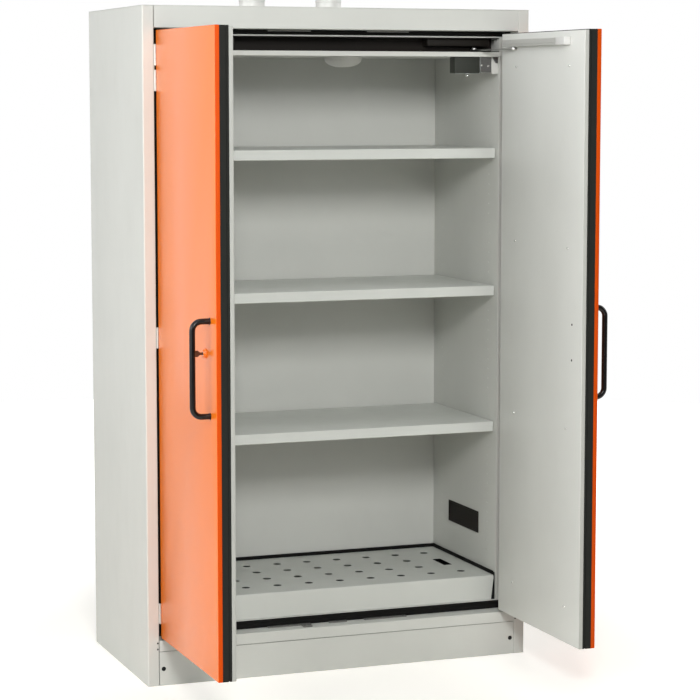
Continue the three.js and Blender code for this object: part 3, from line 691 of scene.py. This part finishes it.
# duct spigots
for name in ("exhaust_spigot", "supply_spigot"):
    x0, x1, y0, y1, z0, z1 = B(name)
    cx, cy = (x0 + x1) / 2, (y0 + y1) / 2
    ro, hh = (x1 - x0) / 2, z1 - z0
    rt = ro - 12
    prof = [(rt - 2, 0), (ro - 0.6, 0), (ro, 0.6), (ro, 1.6), (ro - 0.6, 2.2), (rt + 2.6, 2.4), (rt + 0.6, 3.4), (rt, 5.2), (rt, hh * 0.52), (rt + 1.1, hh * 0.55), (rt + 1.1, hh * 0.60),
            (rt, hh * 0.63), (rt, hh * 0.78), (rt + 1.1, hh * 0.81), (rt + 1.1, hh * 0.85), (rt, hh * 0.88), (rt - 0.6, hh), (rt - 2, hh)]
    p = Part().lathe(prof, (cx, cy, z0), (0, 0, 1), 64)
    put(p.to_object(name + "_tube"), M["white_plastic"], "cabinet_body", [name], soften=30)
    p = Part()
    for k in range(4):
        a = math.pi / 4 + k * math.pi / 2
        p.screw((cx + (ro - 5.2) * math.cos(a), cy + (ro - 5.2) * math.sin(a), z0 + 2.2), (0, 0, 1), 2.9, 1.8, 20)
    put(p.to_object(name + "_screws"), M_SCREW, "cabinet_body")

# closer bodies in the channel
for side, s in (("left", -1), ("right", 1)):
    x0, x1, y0, y1, z0, z1 = B(f"closer_body_{side}")
    zb = 1846.0
    xs0, xs1 = (x0, x1)
    p = Part().box(xs0, xs1, y0, y1, zb, z1, 2.2, 3)
    for f in (0.12, 0.86):
        xx = xs0 + (xs1 - xs0) * f
        p.box(xx - 0.6, xx + 0.6, y0 - 0.25, y1 + 0.25, zb - 0.25, z1 - 0.4, 0.2, 1)
    sx, sy = s * 460.0, -206.0
    p.lathe([(0, zb + 1), (9.5, zb + 1), (9.5, zb - 1.2), (8.8, zb - 2.0), (6.2, zb - 2.2), (6.2, z0 + 0.6), (5.6, z0), (0, z0)], (sx, sy, 0), (0, 0, 1), 32)
    put(p.to_object(f"closer_pump_{side}"), M["channel_black"], "cabinet_body", [f"closer_body_{side}"], soften=30)

# ------------------------------------------------------------------ hinges
HX, HY = 559.0, -301.0
for side, s in (("left", -1), ("right", 1)):
    for part, spans in (("top", [(1712, 1772), (1784, 1844)]), ("middle", [(983.5, 1043.5)]), ("bottom", [(183, 243)])):
        nd = f"hinge_{side}_{part}"
        p = Part()
        for a, b in spans:
            m1 = a + (b - a) * 0.34
            m2 = a + (b - a) * 0.67
            for q0, q1 in ((a + 0.9, m1 - 0.25), (m1 + 0.25, m2 - 0.25), (m2 + 0.25, b - 0.9)):
                p.lathe([(0, q0), (2.8, q0), (3.2, q0 + 0.4), (3.2, q1 - 0.4), (2.8, q1), (0, q1)], (s * HX, HY, 0), (0, 0, 1), 28)
            p.lathe([(0, a), (1.9, a), (2.3, a + 0.4), (2.3, a + 0.8), (1.6, a + 0.9), (1.6, b - 0.9), (2.3, b - 0.8), (2.3, b - 0.4), (1.9, b), (0, b)], (s * HX, HY, 0), (0, 0, 1), 24)
        z0, z1 = spans[0][0], spans[-1][1]
        p.prism(fillet([(s * (HX + 2.0), HY + 1.4), (s * (HX + 3.2), HY + 1.0), (s * (HX + 3.2), HY + 30), (s * (HX + 2.0), HY + 30)], 0.2, 2), "z", z0 + 0.5, z1 - 0.5)
        put(p.to_object(nd + "_knuckles"), M["hinge_steel"], "cabinet_body", [nd], soften=30)

# ------------------------------------------------------------------ doors, open by 90 degrees at rest
FACE = 558.0


def dx(s, v):
    return s * (FACE - v)


def du(u):
    return -305.5 - u


for side, s in (("left", -1), ("right", 1)):
    body = f"{side}_door"
    lock = side == "left"
    skin = B(f"door_skin_{side}")
    pan = B(f"door_inner_pan_{side}")
    z0, z1 = skin[4], skin[5]
    ly, lz = du(454.5), 1017.0

    def tray(name, v_face, v_open, radius, thick, short=0.0):
        bm = bmesh.new()
        xa, xb = dx(s, v_face), dx(s, v_open)
        z1 = skin[5] - short
        vs = [bm.verts.new((x, y, z)) for x in (xa, xb) for y, z in ((skin[2], z0), (skin[3], z0), (skin[3], z1), (skin[2], z1))]
        bm.faces.new([vs[0], vs[1], vs[2], vs[3]])
        for k in range(4):
            j = (k + 1) % 4
            bm.faces.new([vs[k], vs[j], vs[4 + j], vs[4 + k]])
        rim = {e for e in bm.edges if len(e.link_faces) == 1}
        bmesh.ops.bevel(bm, geom=[e for e in bm.edges if e not in rim], offset=radius, segments=4, profile=0.5, affect="EDGES")
        bmesh.ops.recalc_face_normals(bm, faces=bm.faces)
        centre = Vector(((xa + xb) / 2, (skin[2] + skin[3]) / 2, (z0 + z1) / 2))
        big = max(bm.faces, key=lambda f: f.calc_area())
        if (big.calc_center_median() - centre).dot(big.normal) < 0:
            bmesh.ops.reverse_faces(bm, faces=bm.faces)
        bmesh.ops.scale(bm, vec=(MM, MM, MM), verts=bm.verts)
        me = bpy.data.meshes.new(name)
        bm.to_mesh(me)
        bm.free()
        ob = bpy.data.objects.new(name, me)
        COL.objects.link(ob)
        m = ob.modifiers.new("sheet", "SOLIDIFY")
        m.thickness = thick * MM
        m.offset = -1.0
        m.use_even_offset = True
        apply_mods(ob)
        return ob

    ob = tray(f"door_face_{side}", 0.0, 12.5, 1.9, 1.4)
    if lock:
        cut(ob, Part().prism(circle(ly, lz, 11.0, 32), "x", dx(s, -5), dx(s, 8)))
    put(ob, M["door_paint"], body, [f"door_skin_{side}"], soften=32)
    # The side faces of the door sheet take the darker copy of the paint: painted shade.
    paint_edge_shade(ob, M_DOOR_EDGE_SHADE)
    ob = tray(f"door_lining_{side}", 51.0, 39.0, 1.9, 1.4, short=2.8)
    # The lining takes the lighter copy of the inside grey: painted light.
    put(ob, M_LINING, body, [f"door_inner_pan_{side}"], soften=32)
    # The lining's side faces take the darker grey copy: painted shade.
    paint_edge_shade(ob, M_LINING_EDGE_SHADE)

    # seal band round the edge
    ey0, ey1, ez0, ez1 = skin[2] + 0.4, skin[3] - 0.4, z0 + 0.4, z1 - 0.4
    prof = [(0.0, dx(s, 12.8)), (1.0, dx(s, 12.8)), (1.0, dx(s, 29.6)), (0.86, dx(s, 30.2)), (0.45, dx(s, 30.6)), (0.45, dx(s, 32.4)), (0.86, dx(s, 32.8)),
            (1.0, dx(s, 33.4)), (1.0, dx(s, 38.7)), (0.0, dx(s, 38.7))]
    p = Part().ring((ey0 + 3.2, ey1 - 3.2, ez0 + 3.2, ez1 - 3.2), (ey0, ey1, ez0, ez1), prof, "x")
    ob = p.to_object(f"door_gasket_{side}")
    if lock:
        cut(ob, Part().prism(circle(dx(s, 25.7), ly, 5.5, 20), "z", z0 - 5, z0 + 6))
    put(ob, M["seal_black"], body, [f"door_edge_seal_{side}"], soften=25)

    # bow handle
    hu, hz0, hz1, hp, hb = 494.5, 853.0, 1107.0, 48.5, 25.0
    path = [(0.3, hz0), (4.0, hz0), (hp - hb - 4, hz0)]
    for i in range(13):
        a = math.pi / 2 * i / 12
        path.append((hp - hb + hb * math.sin(a), hz0 + hb * (1 - math.cos(a))))
    path.append((hp, (hz0 + hz1) / 2))
    for i in range(12, -1, -1):
        a = math.pi / 2 * i / 12
        path.append((hp - hb + hb * math.sin(a), hz1 - hb * (1 - math.cos(a))))
    path += [(hp - hb - 4, hz1), (4.0, hz1), (0.3, hz1)]
    p = Part().tube([(dx(s, -a), du(hu), z) for a, z in path], 8.0, 28)
    for hz in (hz0, hz1):
        p.lathe([(8.1, 0.0), (9.6, 0.0), (9.6, 0.7), (9.1, 1.2), (8.1, 1.2)], (dx(s, -0.1), du(hu), hz), (s, 0, 0), 32)
    put(p.to_object(f"bow_handle_{side}"), M["handle_black"], body, [f"handle_{side}"], soften=40)
    p = Part()
    for hz in (hz0 + 106, hz1 - 47):
        p.lathe([(0, 0.2), (1.6, 0.25), (2.1, 0.7), (3.0, 0.6), (3.5, 0.0), (0, 0.0)], (dx(s, 51.0), du(488.5), hz), (-s, 0, 0), 24)
    put(p.to_object(f"lining_plugs_{side}"), M_PLUG, body)

    # screws of the lining
    p = Part()
    for z in (1783.0, 1273.0, 761.0, 247.0):
        for u in (103.0, 456.0):
            p.screw((dx(s, 51.0), du(u), z), (-s, 0, 0), 3.9, 2.3, 24)
    put(p.to_object(f"lining_screws_{side}"), M_SCREW, body)

    # slide rail with its end piece
    r = B(f"closer_rail_{side}")
    v0, v1 = 51.3, 71.3
    rz0, rz1 = r[4], r[5]
    zn = rz0 + 5.0
    pts = [(v0, rz0), (v0 + 5.5, rz0), (v0 + 5.5, rz1 - 5), (v1 - 5.5, rz1 - 5), (v1 - 5.5, rz0), (v1 - 1.0, rz0), (v1 - 1.0, zn), (v1 - 2.0, zn + 0.2), (v1 - 2.0, zn + 1.8),
           (v1, zn + 2.0), (v1, rz1), (v0, rz1)]
    rad = [0.5, 0.4, 0.8, 0.8, 0.4, 1.0, 0.3, 0.2, 0.2, 0.4, 1.6, 0.6]
    p = Part().prism([(dx(s, v), z) for v, z in fillet(pts, rad, 4)], "y", r[2] + 59.4, r[3])
    put(p.to_object(f"slide_rail_{side}"), M["rail_metal"], body, [f"closer_rail_{side}"], bevel=0.3, angle=60)
    p = Part().box(dx(s, v0), dx(s, v1 + 0.5), r[2], r[2] + 56.6, rz0 - 0.6, rz1 + 0.6, 1.3, 3)
    p.box(dx(s, v0 + 6.0), dx(s, v1 - 6.0), r[2] + 40, r[2] + 66, rz0 + 1.0, rz1 - 6.0, 0.5, 2)
    put(p.to_object(f"rail_end_{side}"), M_CAP, body, soften=30)

    if lock:
        lx = lambda v: dx(s, v)
        lp = -(B("lock_housing")[0] + FACE)
        prof = [(6.2, -20.0), (10.2, -20.0), (10.6, -19.6), (10.6, 0.3), (13.0, 0.4), (13.5, 0.9), (13.4, 2.1), (12.6, 2.8), (11.0, 2.9), (10.7, 3.3), (10.6, lp - 0.9), (9.9, lp - 0.1),
                (6.9, lp), (6.2, lp - 0.5)]
        p = Part().lathe(prof, (lx(0), ly, lz), (s, 0, 0), 48)
        put(p.to_object("lock_barrel"), M["door_paint"], body, ["lock_housing"], soften=28)

# ------------------------------------------------------------------ lock plug, key and rod
s = -1
ly, lz = du(454.5), 1017.0
lp = -(B("lock_housing")[0] + FACE)
x0, x1, y0, y1, z0, z1 = B("lock_plug")
ob = Part().lathe([(0, -33.0), (5.2, -33.0), (5.8, -32.4), (5.8, lp - 1.0), (5.3, lp - 0.5), (0, lp - 0.5)], (dx(s, 0), ly, lz), (s, 0, 0), 40).to_object("lock_cylinder")
cut(ob, Part().box(dx(s, -lp - 3), dx(s, 13), ly - 1.25, ly + 1.25, lz - 4.1, lz + 4.1))
put(ob, M["lock_metal"], "key", ["lock_plug"], bevel=0.15, angle=55)
kx = dx(s, -lp - 17.5)
ob = Part().prism(fillet([(kx - 8.6, lz - 4.6), (kx - 4.6, lz - 8.6), (kx + 4.6, lz - 8.6), (kx + 8.3, lz - 4.4), (kx + 8.8, lz - 3.6), (dx(s, 11.5) - 3, lz - 3.6), (dx(s, 11.5), lz - 1.2),
                           (dx(s, 11.5), lz + 1.2), (dx(s, 11.5) - 2, lz + 2.4), (dx(s, 6.0), lz + 1.9), (dx(s, 4.0), lz + 3.2), (dx(s, 1.5), lz + 2.0), (dx(s, -1.0), lz + 3.0),
                           (dx(s, -3.5), lz + 3.6), (kx + 8.8, lz + 3.6), (kx + 8.3, lz + 4.4), (kx + 4.6, lz + 8.6), (kx - 4.6, lz + 8.6), (kx - 8.6, lz + 4.6)],
                          [3.4, 3.4, 3.4, 1.0, 0.4, 0.6, 0.6, 0.6, 0.4, 0.3, 0.3, 0.3, 0.3, 0.3, 0.4, 1.0, 3.4, 3.4, 3.4], 5), "y", ly - 1.1, ly + 1.1).to_object("door_key")
cut(ob, Part().prism(circle(kx - 4.4, lz, 2.0, 20), "y", ly - 3, ly + 3).box(kx + 9, dx(s, 9), ly - 2, ly - 0.75, lz - 0.9, lz + 0.7))
put(ob, M_BRASS, "key", ["key"], bevel=0.25, angle=55)
x0, x1, y0, y1, z0, z1 = B("lock_rod")
cx, cy = (x0 + x1) / 2, (y0 + y1) / 2
p = Part().lathe([(0, z0), (2.8, z0), (4.0, z0 + 1.6), (4.0, z1 - 14), (3.4, z1 - 13.4), (3.4, z1 - 6), (4.0, z1 - 5.4), (4.0, z1 - 0.5), (3.5, z1), (0, z1)], (cx, cy, 0), (0, 0, 1), 28)
put(p.to_object("locking_rod"), M["rod_steel"], "lock_rod", ["lock_rod"], soften=30)

# ------------------------------------------------------------------ closer arms
for side, s in (("left", -1), ("right", 1)):
    a0 = Vector((s * 460.0, -206.0))
    a1 = Vector((s * 496.7, -410.0))
    d = (a1 - a0).normalized()
    q = Vector((-d.y, d.x))
    ang = math.atan2(d.y, d.x)
    pts = []
    for i in range(13):
        t = ang + math.pi / 2 + math.pi * i / 12
        pts.append((a0.x + 11.8 * math.cos(t), a0.y + 11.8 * math.sin(t)))
    for i in range(13):
        t = ang - math.pi / 2 + math.pi * i / 12
        pts.append((a1.x + 7.9 * math.cos(t), a1.y + 7.9 * math.sin(t)))
    za, zb = 1833.0, 1837.0
    p = Part().prism(pts, "z", za, zb)
    ob = p.to_object(f"swing_arm_{side}")
    add_bevel(ob, 0.7, 2, 60)
    apply_mods(ob)
    put(ob, M["arm_steel"], f"closer_arm_{side}", [f"closer_arm_{side}"])
    p = Part()
    p.lathe([(0, zb - 0.5), (8.0, zb - 0.5), (8.0, zb + 3.6), (7.2, zb + 4.4), (0, zb + 4.4)], (a0.x, a0.y, 0), (0, 0, 1), 32)
    p.lathe([(0, zb - 0.5), (6.8, zb - 0.5), (6.8, zb + 3.0), (6.2, zb + 3.6), (0, zb + 3.6)], (a1.x, a1.y, 0), (0, 0, 1), 32)
    for at, r in ((a1, 7.2), (a0, 6.2)):
        p.lathe([(0, za - 0.8), (2.4, za - 0.8), (2.7, za - 1.35), (r - 1.6, za - 1.25), (r - 0.4, za - 0.6), (r, za + 0.2), (0, za + 0.2)], (at.x, at.y, 0), (0, 0, 1), 32)
    put(p.to_object(f"arm_bosses_{side}"), M["arm_steel"], f"closer_arm_{side}", soften=30)

# ------------------------------------------------------------------ shelves
for i in (1, 2, 3):
    nm = f"shelf_{i}"
    x0, x1, y0, y1, z0, z1 = B(nm)
    t = 2.0
    pts = [(y0, z0), (y0 + 12, z0), (y0 + 12, z0 + 1.2), (y0 + 1.6, z0 + 1.6), (y0 + 1.6, z1 - t), (y1 - 1.6, z1 - t), (y1 - 1.6, z0), (y1, z0), (y1, z1), (y0, z1)]
    p = Part().prism(fillet(pts, [1.4, 0.4, 0.4, 0.8, 1.2, 1.2, 0.4, 0.4, 2.4, 2.4], 4), "x", x0, x1)
    ob = p.to_object(f"{nm}_tray")
    cut(ob, Part().box(x0 - 5, x0 + 2.4, y0 - 5, y0 + 9, z0 - 5, z1 - 1.0).box(x1 - 2.4, x1 + 5, y0 - 5, y0 + 9, z0 - 5, z1 - 1.0))
    put(ob, M["shelf_paint"], nm, [nm], bevel=0.45, angle=60)
    p = Part()
    for s in (-1, 1):
        p.prism(fillet([(y0 + 2.2, z1 - 16), (y1 - 2.4, z1 - 16), (y1 - 2.4, z1 - t - 0.1), (y0 + 2.2, z1 - t - 0.1)], [1.5, 1.5, 0.2, 0.2], 3), "x", s * x1, s * (x1 - 1.6))
    p.prism(fillet([(-30, z1 - 20), (30, z1 - 20), (30, z1 - t - 0.1), (-30, z1 - t - 0.1)], [4, 4, 0.2, 0.2], 3), "x", x0 + 40, x1 - 40)
    put(p.to_object(f"{nm}_flanges"), M["shelf_paint"], nm, bevel=0.25, angle=60)
    # clips hooked into the slots
    p = Part()
    for s in (-1, 1):
        for yy in SLOT_Y:
            zt = z1 - 16.3
            hook = [(WALL + 0.9, zt - 5.2), (WALL + 0.9, zt - 1.8), (WALL - 14.0, zt - 1.8 + 1.6), (WALL - 14.0, zt - 1.8), (WALL - 2.0, zt - 3.4), (WALL - 2.0, zt - 15.0), (WALL - 0.3, zt - 15.0), (WALL - 0.3, zt - 5.2)]
            hook = [(WALL + 0.9, zt - 4.6), (WALL + 0.9, zt - 1.4), (WALL - 0.3, zt - 1.4), (WALL - 0.3, zt), (WALL - 14.0, zt), (WALL - 14.0, zt - 1.6), (WALL - 1.9, zt - 1.6), (WALL - 1.9, zt - 14.0),
                    (WALL - 0.3, zt - 14.0), (WALL - 0.3, zt - 4.6)]
            p.prism([(s * a, b) for a, b in fillet(hook, [0.2, 0.2, 0.1, 0.5, 0.5, 0.3, 0.8, 0.4, 0.3, 0.1], 3)], "y", yy - 4.4, yy + 4.4)
    put(p.to_object(f"{nm}_clips"), M["galvanised"], "cabinet_body", bevel=0.2, angle=60)

# ------------------------------------------------------------------ spill sump and perforated insert
dress("spill_sump", M["sump_black"], 0.45)
sx0, sx1, sy0, sy1, sz0, sz1 = B("spill_sump")
# rubber edging pushed over the rim on three sides
edge_r = [0.5, 0.1, 0.1, 0.1, 0.1, 0.3, 1.4, 1.6]
p = Part()
for s in (-1, 1):
    u = [(4.1, -7.0), (2.1, -7.0), (2.1, 0.1), (-0.1, 0.1), (-0.1, -7.0), (-1.0, -7.0), (-1.0, 2.4), (4.1, 2.4)]
    p.prism([(s * (sx1 - a), sz1 + b) for a, b in fillet(u, edge_r, 4)], "y", sy0 + 11.0, sy1 - 2.6)
u = [(3.6, -7.0), (2.1, -7.0), (2.1, 0.1), (-0.1, 0.1), (-0.1, -7.0), (-0.6, -7.0), (-0.6, 2.4), (3.6, 2.4)]
p.prism([(sy1 - a, sz1 + b) for a, b in fillet(u, edge_r, 4)], "x", sx0 - 0.9, sx1 + 0.9)
put(p.to_object("sump_edging"), M_GASKET, "spill_sump", soften=35)
x0, x1, y0, y1, z0, z1 = B("perforated_insert")
t = 0.7
pts = [(y0, z1 - 14), (y0 + t, z1 - 14), (y0 + t, z1 - t), (y1 - t, z1 - t), (y1 - t, z0 + 2), (y1, z0 + 2), (y1, z1), (y0, z1)]
p = Part().prism(fillet(pts, [0, 0, 3.0, 1.0, 0.3, 0.3, 2.2, 4.2], 5), "x", x0, x1)
p.prism([(x0 + 0.6, z1 - 14), (x0 + 8, z0), (x1 - 8, z0), (x1 - 0.6, z1 - 14)], "y", y0, y0 + t)
ob = p.to_object("insert_sheet")
tools = Part()
for i in range(10):
    for j in range(4):
        px, py = -450 + 100 * i, -150 + 100 * j
        if abs(px) > 400 and abs(py) < 100:
            continue
        tools.prism(circle(px, py, 12.6, 28), "z", z1 - 8, z1 + 8)
for px in (-450, 450):
    tools.prism(fillet(rect(px - 14, px + 14, -50, 50), 3.0, 4), "z", z1 - 8, z1 + 8)
cut(ob, tools)
put(ob, M_INSERT, "perforated_insert", ["perforated_insert"], soften=34, weighted=True)

# ------------------------------------------------------------------ studio
sc = bpy.context.scene
sc.view_settings.view_transform = "Standard"
sc.view_settings.look = "None"
sc.view_settings.exposure = 0.0
sc.view_settings.gamma = 1.0

floor_me = bpy.data.meshes.new("studio_floor")
R = 6.0
NF = 96
floor_me.from_pydata([(R * math.cos(2 * math.pi * i / NF), R * math.sin(2 * math.pi * i / NF), -0.0004) for i in range(NF)], [], [tuple(range(NF))])
floor = bpy.data.objects.new("studio_floor", floor_me)
COL.objects.link(floor)
fm, nt, bsdf = new_mat("studio_floor_pale")
vec = obj_coords(nt)
nt.links.new(ramp(nt, noise(nt, vec, 5.0, 3.0), [(0.3, (0.84, 0.81, 0.74)), (0.7, (0.86, 0.83, 0.76))]), bsdf.inputs["Base Color"])
bsdf.inputs["Roughness"].default_value = 0.55
bsdf.inputs["Specular IOR Level"].default_value = 0.15
bsdf.inputs["Emission Color"].default_value = (1, 1, 1, 1)
lpf = node(nt, "ShaderNodeLightPath")
dist = node(nt, "ShaderNodeVectorMath", operation="LENGTH")
nt.links.new(vec, dist.inputs[0])
glow = remap(nt, dist.outputs["Value"], 0.9, 2.4, 0.42, 1.1)
seen = node(nt, "ShaderNodeMix", data_type="FLOAT")
nt.links.new(lpf.outputs["Is Diffuse Ray"], seen.inputs["Factor"])
nt.links.new(glow, seen.inputs[2])
seen.inputs[3].default_value = 0.0
soft = node(nt, "ShaderNodeMix", data_type="FLOAT")
nt.links.new(lpf.outputs["Is Glossy Ray"], soft.inputs["Factor"])
nt.links.new(seen.outputs[0], soft.inputs[2])
soft.inputs[3].default_value = 0.34
nt.links.new(soft.outputs[0], bsdf.inputs["Emission Strength"])
floor_me.materials.append(fm)

WORLD_UP, WORLD_LOW = 0.0, 0.03
world = bpy.data.worlds.new("studio_world")
sc.world = world
world.use_nodes = True
wt = world.node_tree
bg = wt.nodes["Background"]
lp_ = wt.nodes.new("ShaderNodeLightPath")
tc = wt.nodes.new("ShaderNodeTexCoord")
sp = wt.nodes.new("ShaderNodeSeparateXYZ")
wt.links.new(tc.outputs["Generated"], sp.inputs["Vector"])
mr = wt.nodes.new("ShaderNodeMapRange")
mr.inputs["From Min"].default_value = -0.12
mr.inputs["From Max"].default_value = 0.25
mr.inputs["To Min"].default_value = WORLD_LOW
mr.inputs["To Max"].default_value = WORLD_UP
wt.links.new(sp.outputs["Z"], mr.inputs["Value"])
gl = wt.nodes.new("ShaderNodeMapRange")
gl.inputs["From Min"].default_value = -0.75
gl.inputs["From Max"].default_value = 0.05
gl.inputs["To Min"].default_value = 0.05
gl.inputs["To Max"].default_value = 1.02
wt.links.new(sp.outputs["Y"], gl.inputs["Value"])
m1 = wt.nodes.new("ShaderNodeMix")
m1.data_type = "FLOAT"
wt.links.new(lp_.outputs["Is Camera Ray"], m1.inputs["Factor"])
wt.links.new(gl.outputs["Result"], m1.inputs[2])
m1.inputs[3].default_value = 1.0
mx = wt.nodes.new("ShaderNodeMix")
mx.data_type = "FLOAT"
wt.links.new(lp_.outputs["Is Diffuse Ray"], mx.inputs["Factor"])
wt.links.new(m1.outputs[0], mx.inputs[2])
wt.links.new(mr.outputs["Result"], mx.inputs[3])
wt.links.new(mx.outputs[0], bg.inputs["Strength"])
bg.inputs["Color"].default_value = (1, 1, 1, 1)


def softbox(name, at, target, w, h, power, color=(1, 1, 1)):
    ld = bpy.data.lights.new(name, "AREA")
    ld.shape = "RECTANGLE"
    ld.size = w
    ld.size_y = h
    ld.energy = power
    ld.color = color
    lo = bpy.data.objects.new(name, ld)
    COL.objects.link(lo)
    lo.location = at
    lo.rotation_euler = (Vector(target) - Vector(at)).to_track_quat("-Z", "Y").to_euler()
    return lo


MID = (0, -0.2, 1.0)
softbox("key_front", (-1.6, -5.6, 3.3), MID, 1.1, 1.1, 162.0)
softbox("key_camera", (-1.9, -6.6, 2.9), MID, 1.1, 1.1, 29.0)
softbox("fill_side", (-5.0, -0.8, 2.8), MID, 2.0, 2.0, 90.0, (0.98, 0.99, 1.0))
softbox("fill_left", (-4.5, -3.0, 1.5), MID, 2.0, 2.0, 48.0, (0.98, 0.99, 1.0))
softbox("fill_left_high", (-4.5, -3.0, 2.8), MID, 2.0, 2.0, 28.0, (0.98, 0.99, 1.0))
softbox("fill_front", (0.4, -6.6, 2.7), MID, 2.0, 1.2, 18.0)
softbox("overhead", (0.0, -1.6, 4.4), MID, 3.0, 2.0, 35.0)
softbox("fill_right", (5.0, 0.3, 2.7), MID, 2.0, 2.0, 85.0)
softbox("fill_back", (1.8, 5.4, 2.9), MID, 2.0, 2.0, 62.0).visible_glossy = False

cam = bpy.data.cameras.new("camera")
cam.lens = 119.25
cam.sensor_width = 36.0
cam.sensor_fit = "HORIZONTAL"
cam.clip_end = 200.0
co = bpy.data.objects.new("camera", cam)
COL.objects.link(co)
co.location = (-2.3591, -6.6423, 1.7046)
co.rotation_euler = (math.radians(90 - 6.303), 0.0, math.radians(-20.614))
sc.camera = co
